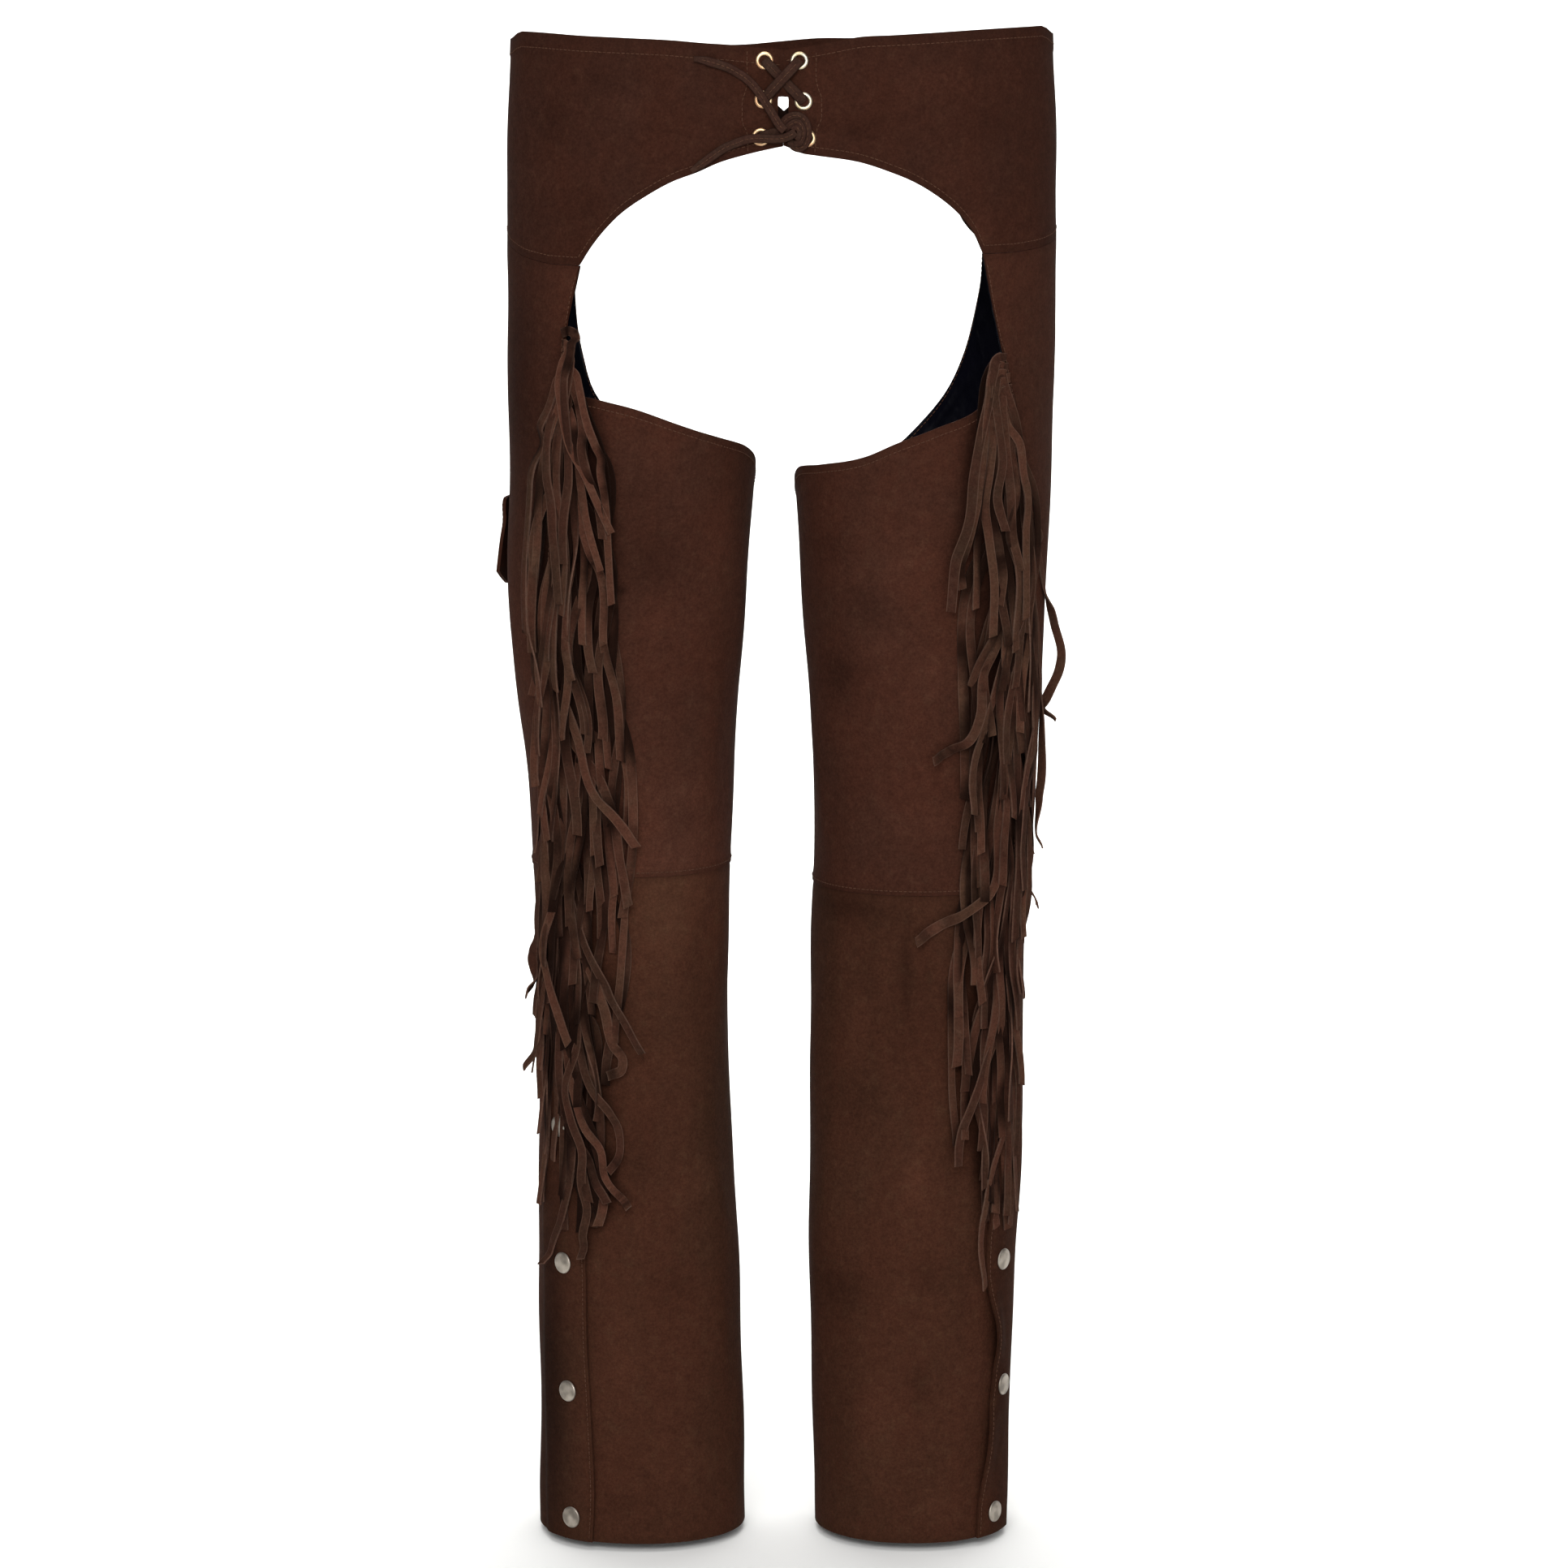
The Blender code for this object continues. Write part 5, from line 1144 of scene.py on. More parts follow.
def yoke_place(across, height):
    """Point of the yoke's outer face at a distance across and up, and its normal.

    The angle is found by four corrections, each the distance still missing over the half depth.
    """
    name = "left" if across < 0 else "right"
    side = LEGS[name]["side"]
    angle = np.array(math.pi / 2 - side * (across * MM - HIPS_CENTRE_X) / YOKE_DEPTH)
    up = np.array(height * MM)
    for _ in range(4):
        error = hips_point(side, angle, up)[0] - across * MM
        angle = angle + side * error / YOKE_DEPTH
    return yoke_face(name)(angle, up)


def smooth_path(points, per_span):
    """Points of a smooth curve through the given ones, evenly spread in each span."""
    points = np.array(points, float)
    steps = np.linalg.norm(np.diff(points[:, :3], axis=0), axis=1)
    reach = np.concatenate([[0.0], np.cumsum(steps)])
    at = np.append(np.linspace(reach[:-1], reach[1:], per_span, endpoint=False).T, reach[-1])
    return np.stack([soft_curve(at, reach, values) for values in points.T], axis=-1)


def over_yoke(points, per_span):
    """Smooth path over the yoke from (across, height, clearance) rows, with its normals."""
    rows = []
    for across, height, clear in points:
        place, normal = yoke_place(across, height)
        rows.append(np.concatenate([place + normal * clear * MM, normal]))
    path = smooth_path(rows, per_span)
    return path[:, :3], unit(path[:, 3:])


def strap(points, ups, width, thick, taper=0.0):
    """Flat cord along points: a rounded oblong section, creased along its upper middle.

    Across is half the width x |cos|^0.75 and up half the thickness x |sin|^0.8, each with its sign;
    the crease is LACE_GROOVE exp(-(across / GROOVE_RUN)^2) on the upper half.
    """
    count = len(points)
    tangent = unit(np.gradient(points, axis=0))
    across = unit(np.cross(tangent, ups))
    up = np.cross(across, tangent)
    turn = np.linspace(0, 2 * math.pi, STRAP_SIDES, endpoint=False)
    cos, sin = np.cos(turn), np.sin(turn)
    flat = np.sign(cos) * np.abs(cos) ** 0.75 * 0.5
    tall = np.sign(sin) * np.abs(sin) ** 0.8 * 0.5
    at_end = ease((np.linspace(0.0, 1.0, count) - 0.86) / 0.14)
    width = np.broadcast_to(width, (count,)) * (1.0 - taper * at_end)
    thick = np.broadcast_to(thick, (count,))
    aside = flat * width[:, None]
    crease = LACE_GROOVE * np.exp(-(aside / GROOVE_RUN) ** 2) * (tall > 0)
    rings = (points[:, None] + across[:, None] * aside[..., None]
             + up[:, None] * (tall * thick[:, None] - crease)[..., None])
    verts = np.concatenate([rings.reshape(-1, 3), points[[0, -1]]])
    index = np.arange(count * STRAP_SIDES).reshape(count, STRAP_SIDES)
    after = np.roll(index, -1, axis=1)
    faces = np.stack([index[:-1], after[:-1], after[1:], index[1:]], -1).reshape(-1, 4).tolist()
    start, end = index.size + 0 * index[0], index.size + 1 + 0 * index[0]
    faces += np.stack([start, after[0], index[0]], -1).tolist()
    faces += np.stack([end, index[-1], after[-1]], -1).tolist()
    return verts, faces


def lace_shade(parts):
    """Painted shade on the lace: none on its upper face, more down its sides, full below."""
    turn = np.linspace(0, 2 * math.pi, STRAP_SIDES, endpoint=False)
    ring = np.clip((0.75 - np.sin(turn)) / 0.75, 0.0, 1.0)
    return np.concatenate([np.append(np.tile(ring, len(verts) // STRAP_SIDES), (0.5, 0.5))
                           for verts, _ in parts])


def lace_pieces(name, thread_name, node, parts, threads):
    """Lengths of lace as one piece, and their sewing as another."""
    thing = mesh_object(name, *join_parts(parts), LACE_SUEDE, "lace_suede", node,
                        marks={"under": lace_shade(parts)}, sharp=60.0)
    thread = mesh_object(thread_name, *join_parts(threads), THREAD_BROWN, "lace_suede", sharp=None)
    return thing, thread


def lace_stitches(points, ups, thick):
    """The stitches that lie in the crease of a strap."""
    return stitches(points + ups * (0.5 * thick - LACE_GROOVE + 0.1 * MM), ups)


def loose_end(node, rows):
    """One free end of the lace, with the thread down its middle."""
    path, ups = over_yoke(rows, 4)
    end = strap(path, ups, LACE_END_WIDTH, LACE_END_THICK, LACE_TAPER)
    thing, thread = lace_pieces(node + "_cord", node + "_thread", node, [end],
                                lace_stitches(path, ups, LACE_END_THICK))
    length = float(np.linalg.norm(np.diff(path, axis=0), axis=1).sum())
    tuple(path[0])
    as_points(path[::2] if len(path) % 2 else path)


def crossing(places, number):
    """Points and normals of the drawn lace from one hole to the next, inside first, then outside.

    It comes up out of the first hole, bows by the clearance in LACE_RUN and dips into the next.
    """
    sign, seat = (1.0, 0.0) if number % 2 else (-1.0, HOLE_SEAT)
    (here, up), (there, up_there) = places[number:number + 2]
    ahead = unit(there - here)
    mean_up = unit(up + up_there)

    def row(place, along, clear, normal):
        offset = ahead * along + normal * sign * (clear + seat * min(1.0, clear))
        return np.concatenate([place + offset * MM, mean_up * sign])

    rows = [row(here, along, clear, up) for along, clear in HOLE_ROWS]
    if number == len(LACE_RUN) - 1:
        return rows + [np.concatenate([there + mean_up * KNOT_CLEAR * MM, mean_up * sign])]
    middle = 0.5 * (here + there) + mean_up * LACE_RUN[number][2] * MM
    rows.append(np.concatenate([middle, mean_up * sign]))
    return rows + [row(there, -along, clear, up_there) for along, clear in reversed(HOLE_ROWS)]


def drawn_lace():
    """The crossed run, bunched in the holes and spread between them, and sewn where it shows."""
    places = [yoke_place(*EYELETS[name][number - 1]) for name, number, _ in LACE_RUN]
    places.append(yoke_place(*LACE_TO_KNOT))
    parts = []
    threads = []
    for number in range(len(LACE_RUN)):
        path = smooth_path(crossing(places, number), 5)
        ups = unit(path[:, 3:])
        share = np.linspace(0.0, 1.0, len(path))
        bunch = 1.0 - RUN_BUNCH * (ease(1 - share / 0.2) + ease((share - 0.8) / 0.2))
        parts.append(strap(path[:, :3], ups, RUN_WIDTH * bunch, RUN_THICK * (2.0 - bunch)))
        if number % 2:
            threads += lace_stitches(path[3:-3, :3], ups[3:-3], RUN_THICK)
    lace_pieces("lace_cord", "lace_thread", "lace", parts, threads)


def knot():
    """Three turns of the lace, one inside the other and each higher than the last."""
    parts = []
    threads = []
    for rows, width, thick in KNOT:
        path, ups = over_yoke(rows, 5)
        parts.append(strap(path, ups, width * MM, thick * MM))
        threads += lace_stitches(path[2:-2], ups[2:-2], thick * MM)
    lace_pieces("lace_knot_turns", "lace_knot_thread", "lace_knot", parts, threads)


loose_end("lace_end_upper", LACE_END_UPPER)
loose_end("lace_end_lower", LACE_END_LOWER)
drawn_lace()
knot()


# ---------------- eyelets
# Six rolled brass eyelets carry the lace: a rounded flange in front, a barrel through the suede and
# a washer behind it.  The two upper right ones have lost their colour to wear.

EYELET_PROFILE = [  # rolled flange, then barrel and washer
    *((4.7 + 1.35 * math.cos(a), 0.35 + 1.0 * math.sin(a))
      for a in np.linspace(-0.15 * math.pi, 1.1 * math.pi, 11)),
    (3.25, -0.6), (3.25, -2.6), (3.6, -3.0), (5.4, -2.7), (5.3, -2.4), (3.8, -2.35), (3.7, 0.0)]
EYELET_SIDES = 40
EYELET_SEAT = 0.5 * MM
WORN_EYELETS = ("eyelet_right_1", "eyelet_right_2")


def metal(name, bright, dull, roughness):
    """Plated metal, tumbled and then handled: satin, with soft duller clouds and a rubbed grain."""
    material, shader, add = new_material(name)
    place = add("TexCoord", output="Object")
    clouds, grain, rubbed = (
        add("TexNoise", {"Vector": place, "Scale": 1.0 / (size * MM), "Detail": detail, "Roughness": rough})
        for size, detail, rough in ((7.69, 2.0, 0.4), (0.667, 3.0, 0.6), (0.556, 2.0, 0.6)))
    colour = drawn_to(add, hex_rgb(bright), hex_rgb(dull), clouds, 0.30, 0.70)
    rough = add("MapRange", {"Value": clouds, "From Min": 0.3, "From Max": 0.7,
                             "To Min": roughness, "To Max": roughness + 0.10})
    bump = add("Bump", {"Height": rubbed, "Strength": 0.15, "Distance": 0.03 * MM})
    add(shader, {"Base Color": varied(add, colour, grain, 0.12), "Normal": bump, "Roughness": rough,
                 "Metallic": 1.0})
    return material


BRASS = metal("pale_brass", "dbbd95", "b58c6a", 0.34)
SILVER = metal("worn_brass", "cec6b4", "b19e7b", 0.32)


def turned(profile, centre, axis, sides, closed):
    """A profile of (radius, height) points carried round an axis; closed joins its two ends."""
    side = unit(np.cross(axis, (0.0, 0.0, 1.0)))
    other = np.cross(axis, side)
    profile = np.array(profile) * MM
    turn = np.linspace(0, 2 * math.pi, sides, endpoint=False)[:, None]
    around = side * np.cos(turn) + other * np.sin(turn)
    verts = (centre + around[:, None] * profile[:, :1] + axis * profile[:, 1:]).reshape(-1, 3)
    count = len(profile)
    index = np.arange(sides)[:, None] * count + np.arange(count + closed) % count
    after = np.roll(index, -1, axis=0)
    faces = np.stack([index[:, :-1], after[:, :-1], after[:, 1:], index[:, 1:]], -1).reshape(-1, 4).tolist()
    if not closed:
        faces += [index[::-1, 0].tolist(), index[:, -1].tolist()]
    return verts, faces


for side_name, places in EYELETS.items():
    for number, place in enumerate(places, 1):
        eyelet = "eyelet_%s_%d" % (side_name, number)
        centre, axis = yoke_place(*place)
        mesh_object(eyelet + "_ring", *turned(EYELET_PROFILE, centre + axis * EYELET_SEAT, axis,
                                              EYELET_SIDES, True),
                    SILVER if eyelet in WORN_EYELETS else BRASS, "pale_brass", eyelet)


# ---------------- snaps
# Four domed caps of antique nickel, riveted through the flap, close each calf over a socket on the
# back panel.

SNAP_HEIGHTS = (-752.0, -848.0, -939.0, -1029.0)
SNAP_PROFILE = [(7.1, 0.0), (7.45, 0.25), (7.5, 0.7), (7.25, 1.15), (6.7, 1.5), (6.0, 1.66), (5.2, 1.70),
                (4.9, 1.72), (3.6, 1.95), (1.9, 2.12), (0.6, 2.18)]
SNAP_SIDES = 48
SNAP_SEAT = 0.3 * MM

NICKEL = metal("antique_nickel", "a89f94", "7c746b", 0.42)


def add_snaps(name, leg):
    """Domed snap caps seated on the flap."""
    for number, (height, turn) in enumerate(zip(SNAP_HEIGHTS, leg["snap_angles"]), 1):
        snap = "snap_%s_%d" % (name, number)
        angle, up = np.array(math.radians(turn)), np.array(height * MM)
        place, axis = leg_face(name)(angle, up)
        lift = LAP_LIFT + SNAP_SEAT + float(leg_relief(name, angle, up))
        mesh_object(snap + "_cap", *turned(SNAP_PROFILE, place + axis * lift, axis, SNAP_SIDES, False),
                    NICKEL, "antique_nickel", snap)


for side_name, side_leg in LEGS.items():
    add_snaps(side_name, side_leg)


# ---------------- fringe
# Strips of suede are sewn into each outer seam and cut across into hanging strands.  The strands
# leave the seam backwards, arch over and fall in a deep pile, each lying on those below it.

STRANDS = {"left": 76, "right": 64}  # strands laid by rule, besides those in LEAD_STRANDS
STRAND_LENGTH = 200.0 * MM
STRAND_WIDTH = 6.0 * MM
STRAND_THICK = 1.1 * MM
SPOTS = np.array([-0.5, -0.17, 0.17, 0.5])  # points across a strand, as shares of its width,
RING_SPOTS = np.concatenate([SPOTS, SPOTS[::-1]])  # and all round it
RINGS = 34  # cross sections along a strand laid by rule
LEAD_RINGS = 8  # and for each listed point of one in LEAD_STRANDS
FRINGE_BOTTOM = -660.0 * MM
FRINGE_TOP_GAP = 5.0 * MM  # the uppermost root is this far below the seam's top
FRINGE_SEED = {"left": 11, "right": 23}
CELL = 2.0 * MM  # pitch of the height map that stacks the strands
MAP_ASIDE = (-90.0 * MM, 110.0 * MM)
MAP_UP = (-960.0 * MM, -190.0 * MM)
SIDE_LIMIT = -26.0 * MM  # the strands don't slide further round the side than this
TIP_LIMIT = -832.0 * MM  # and most of them end above the upper snap
ROOT_LIMIT = 5.0 * MM  # the pile is squeezed flatter than this at the roots of a strand
PILE_LIMIT = 14.0 * MM  # and than this lower down,
PILE_RUN = 110.0 * MM  # from here along the strand
ROOT_LIFT = 0.6 * MM  # a strand leaves the seam this far out
CLEARANCE = 0.2 * MM  # between a strand and what it lies on
HOLLOW_RUN = 0.8 * MM  # a point this far below its neighbours gets the full painted shade
UNDER_DEPTH = 4.0 * MM  # and cloth under a pile this deep gets the full painted shadow
GOLDEN_SHARE = 0.618  # step that spreads neighbouring strands over the fringe's breadth
# Where the strands of each stretch of seam come to hang, to either side of it.
REACH = {  # root height: (towards the side, towards the back)
    "left": {
        -205: (-12.0, 34.0), -240: (-14.0, 42.0), -300: (-14.0, 50.0), -370: (-15.0, 56.0),
        -430: (-22.0, 58.0), -500: (-26.0, 58.0), -560: (-26.0, 58.0), -610: (-18.0, 58.0),
        -640: (-6.0, 50.0), -660: (2.0, 42.0)},
    "right": {
        -215: (2.0, 30.0), -250: (0.0, 40.0), -300: (-8.0, 46.0), -350: (-20.0, 48.0),
        -430: (-20.0, 46.0), -500: (-16.0, 50.0), -560: (-14.0, 50.0), -600: (-14.0, 44.0),
        -640: (-10.0, 30.0), -660: (-4.0, 20.0)},
}
# The strands that lie on top, one by one from the uppermost down: points of distance from the seam
# and height, and a stand-off where the strand bows out from those under it by more than RESTING.
RESTING = 4
BOW_OUT = 1.45  # how far a strand bows out for each mm of stand-off past that
LEAD_STRANDS = {
    "left": (
        ((1, -208), (5, -207, 5), (8, -211, 6), (6, -220, 5), (5, -233), (7, -246), (10, -263),
         (14, -277), (22, -293), (29, -310), (38, -332)),
        ((0, -201), (5, -199, 5), (10, -201, 6), (11, -206, 6), (11, -216, 5), (9, -228), (9, -241),
         (12, -271), (14, -298), (13, -326), (15, -354)),
        ((3, -237), (1, -249), (-1, -262), (-1, -277), (1, -296), (5, -315), (7, -335), (10, -357),
         (13, -382)),
        ((1, -226), (-4, -252), (-8, -267), (-10, -297), (-10, -316), (-11, -361), (-8, -403)),
        ((6, -224), (12, -227), (16, -237), (19, -248), (23, -262), (28, -277), (31, -295), (34, -314),
         (36, -333), (41, -381)),
        ((8, -233), (13, -241), (17, -251), (20, -265), (20, -277), (23, -291), (31, -317), (34, -336)),
        ((7, -249), (12, -257), (16, -270), (21, -303), (25, -325), (34, -358)),
        ((9, -282), (16, -298), (19, -314), (27, -345), (33, -361), (38, -409)),
        ((7, -298), (2, -307), (-2, -320), (-5, -336), (-5, -361), (-4, -417)),
        ((9, -444), (21, -472), (35, -518), (46, -530), (61, -550)),
        ((14, -475), (36, -505), (46, -533), (51, -561), (58, -592)),
        ((6, -536), (13, -575), (5, -599), (-5, -634), (7, -658), (23, -690)),
        ((-5, -543), (-18, -590), (-25, -626, 5), (-34, -639, 7), (-27, -651, 5), (-15, -662)),
        ((6, -553), (27, -614), (42, -643), (51, -661), (70, -695)),
        ((14, -603), (44, -664), (51, -692), (57, -701, 5), (56, -708, 6), (48, -711, 7)),
        ((7, -616), (-6, -663), (-16, -694), (-31, -716)),
        ((8, -647), (23, -668), (26, -688), (18, -725), (23, -745), (30, -764), (28, -787), (31, -807),
         (27, -828), (28, -841)),
        ((8, -641), (23, -678), (38, -724), (48, -737), (54, -751), (53, -771), (48, -778)),
        ((7, -650), (10, -684), (12, -704), (15, -726), (22, -751), (33, -770), (39, -789), (47, -800)),
        ((8, -652), (15, -690), (23, -722), (33, -750), (42, -763), (45, -783), (55, -797), (61, -803)),
        ((8, -655), (16, -690), (25, -722), (37, -755), (42, -778), (43, -800), (40, -817)),
        ((9, -658), (13, -690), (17, -723), (22, -765), (17, -791), (9, -815), (-2, -836), (-5, -850)),
    ),
    "right": (
        ((4, -250), (10, -251, 5), (14, -260, 5), (10, -274), (10, -295), (8, -312), (10, -338),
         (9, -394)),
        ((4, -217), (9, -218, 5), (14, -226, 5), (21, -244), (31, -268), (38, -293), (43, -326),
         (50, -353), (53, -386)),
        ((4, -228), (11, -229, 5), (15, -236, 5), (20, -260), (22, -287), (27, -311), (23, -333)),
        ((3, -223), (9, -222, 5), (15, -228, 5), (20, -241), (28, -265), (33, -288), (37, -309),
         (45, -350), (47, -371)),
        ((3, -234), (9, -233, 5), (15, -240, 5), (23, -265), (30, -293), (34, -315), (32, -337),
         (30, -362), (30, -404)),
        ((4, -239), (10, -240, 5), (13, -247, 5), (18, -271), (19, -304), (18, -338), (14, -361)),
        ((3, -229), (9, -227, 5), (15, -235, 5), (21, -252), (28, -282), (34, -315), (36, -337),
         (38, -386)),
        ((4, -245), (9, -244, 5), (15, -252, 5), (20, -275), (26, -297), (30, -315), (26, -344),
         (24, -363), (26, -383)),
        ((6, -256), (10, -256, 5), (14, -266), (15, -288), (15, -310), (20, -335), (15, -357),
         (16, -408)),
        ((5, -283), (3, -322), (-8, -343), (-16, -359), (-26, -380, 5), (-46, -407, 9), (-47, -428, 13),
         (-47, -440, 12), (-46, -451, 9), (-45, -462, 6), (-42, -473)),
        ((4, -330), (-10, -380), (-26, -430), (-36, -480, 6), (-38, -515, 7), (-32, -545, 5),
         (-26, -560)),
        ((10, -361), (22, -405), (33, -432), (36, -460), (42, -476), (52, -485, 5), (63, -490, 6)),
        ((10, -395), (24, -438), (34, -472), (38, -494), (38, -528)),
        ((4, -400), (-12, -450), (-25, -500), (-31, -545, 5), (-28, -575, 6), (-20, -600)),
        ((13, -473), (18, -535), (23, -585), (41, -600), (56, -608, 5), (71, -617, 6)),
        ((0, -663), (26, -716), (38, -749), (42, -775)),
        ((0, -748), (18, -786), (22, -814), (21, -864)),
    ),
}

# their under mark is painted shade where a strand lies between and under others
FRINGE_SUEDE = suede("fringe_suede", "40271e", "3b291f", "5e473b", 33.3, strand=True, under=0.94)
FRINGE_EDGE = suede("fringe_cut_edge", "543b31", "4b3a31", "6d5446", 16.7, under=0.94)


def squeezed(height, limit):
    """Height in the pile once it is pressed together: limit (1 - exp(-height / limit))."""
    return limit * (1.0 - np.exp(-height / limit))


class Pile:
    """Height map over a leg's surface beside the seam: each strand rests on those already laid."""

    def __init__(self):
        rows, columns = (int((high - low) / CELL) for low, high in (MAP_UP, MAP_ASIDE))
        self.height = np.zeros((rows, columns))

    def cells(self, aside, up):
        """Map indices of points given by their distance from the seam and height."""
        return tuple(np.clip(((values - start) / CELL).astype(int), 0, size - 1)
                     for values, start, size in ((up, MAP_UP[0], self.height.shape[0]),
                                                 (aside, MAP_ASIDE[0], self.height.shape[1])))

    def across(self, aside, up, spots):
        """Map indices of spots across the line of a strand, in shares of its width."""
        return self.cells(aside[:, None] + spots * STRAND_WIDTH, up[:, None] + 0 * spots)

    def highest(self, aside, up, *spots):
        """Greatest height of the map among spots across the line of a strand."""
        return self.height[self.across(aside, up, np.array(spots))].max(axis=1)

    def lay(self, aside, up, stand, raised):
        """Lift of a strand's middle line that clears what lies under it; stand is its half height.

        The heights under it are spread to two points either way and averaged with their neighbours
        (a half, a quarter, a quarter) five times, so that it rides over the others in soft bends.
        """
        spots = np.array((-0.5, -0.25, 0.0, 0.25, 0.5))
        under = self.highest(aside, up, *spots)
        for _ in range(2):
            under = np.maximum(under, np.maximum(np.roll(under, 1), np.roll(under, -1)))
        for _ in range(5):
            under = 0.5 * under + 0.25 * (np.roll(under, 1) + np.roll(under, -1))
        lift = np.maximum(under + stand + CLEARANCE, raised)
        top = np.repeat((lift + stand)[:, None], len(spots), axis=1)
        np.maximum.at(self.height, self.across(aside, up, spots), top)
        return lift

    def hollow(self, aside, up, top, limit):
        """How deep a strand's left, middle and right lie in the pile, 0 open to 1 shut in.

        Each is the squeezed height there less the strand's own, over HOLLOW_RUN; together they set
        the strand's painted shade.
        """
        own = squeezed(top, limit)
        return [ease((squeezed(self.highest(aside, up, *spots), limit) - own) / HOLLOW_RUN)
                for spots in ((-1.0, -0.7), (-0.3, 0.0, 0.3), (0.7, 1.0))]


def strand_mesh(points, ups, width, turn, bow, slant):
    """Flat cut strand: eight points a ring, its two narrow sides kept apart for the cut edge.

    Its section is turned about the line, arched by bow (1 - (2 across)^2), and cut off aslant.
    """
    count = len(points)
    tangent = unit(np.gradient(points, axis=0))
    across = unit(np.cross(tangent, ups))
    up = np.cross(across, tangent)
    cos, sin = np.cos(turn)[:, None], np.sin(turn)[:, None]
    turned_across, turned_up = across * cos + up * sin, up * cos - across * sin
    spot = RING_SPOTS[:, None]
    face = np.repeat([0.5, -0.5], len(SPOTS))[:, None] * STRAND_THICK
    arch = (1.0 - (2 * spot) ** 2) * bow[:, None, None]
    ahead = tangent * (slant * ease((np.linspace(0, 1, count) - 0.96) / 0.04))[:, None]
    rings = (points[:, None] + turned_across[:, None] * (spot * width[:, None, None])
             + ahead[:, None] * spot + turned_up[:, None] * (arch + face))
    sides = len(spot)
    index = np.arange(sides * count).reshape(count, sides)
    after = np.roll(index, -1, axis=1)
    quads = np.stack([index[:-1], index[1:], after[1:], after[:-1]], -1).reshape(-1, 4)
    cut = np.tile([0, 0, 0, 1, 0, 0, 0, 1], count - 1).tolist()
    faces = quads.tolist() + [index[0].tolist(), index[-1, ::-1].tolist()]
    return rings.reshape(-1, 3), faces, cut + [1, 1]


def hanging_line(rng, root, goal, place):
    """Distance from the seam, height and bowing along a strand that falls to its own place.

    It leaves the seam towards the back, arches over, swings to its goal and meanders:
    aside = out + (goal - out) (1 - exp(-(s / run)^1.4)) + two sines + a drift + now and then a hook.
    place is 0 at the sideward rim of the fringe and 1 at the backward rim, where it drifts inward.
    """
    length = min(STRAND_LENGTH * rng.uniform(0.92, 1.06), root - TIP_LIMIT)
    s = np.linspace(0.0, length, RINGS)
    share = s / length
    leave = 1 - np.exp(-s / (5.0 * MM))
    out = rng.uniform(5.0, 9.5) * MM
    run = rng.uniform(30.0, 90.0) * MM
    aside = out * leave + (goal - out) * (1 - np.exp(-(s / run) ** 1.4))
    for wave, swing in ((rng.uniform(130.0, 240.0), rng.uniform(1.5, 5.0)),
                        (rng.uniform(70.0, 110.0), rng.uniform(0.0, 1.2))):
        phase = rng.uniform(0.0, 6.28)
        aside = aside + swing * MM * np.sin(2 * math.pi * s / (wave * MM) + phase) * ease(s / (45 * MM))
    drift = float(np.clip(rng.normal(0.0, 6.0), -9, 9)) * MM
    if place > 0.8:
        drift = -abs(drift)
    aside = aside + drift * ease((share - 0.25) / 0.75)
    if rng.random() < 0.16:
        aside = aside + rng.uniform(-12.0, 12.0) * MM * ease((share - 0.66) / 0.34) ** 1.6
    aside = np.maximum(aside, SIDE_LIMIT)
    stride = s[1] - s[0]
    down = np.sqrt(np.clip(stride ** 2 - np.diff(aside) ** 2, (0.35 * stride) ** 2, None))
    drop = np.concatenate([[0.0], np.cumsum(down)]) - 4.0 * MM * leave
    return aside, root - drop, 0.0 * s


def lead_line(rows):
    """Distance from the seam, height and bowing along a strand listed point by point."""
    rows = [(aside, up, 0.0, stand) for aside, up, stand in ((*row, RESTING)[:3] for row in rows)]
    aside, up, _, stand = smooth_path(rows, LEAD_RINGS).T * MM
    return aside, up, BOW_OUT * np.clip(stand - RESTING * MM, 0.0, None)


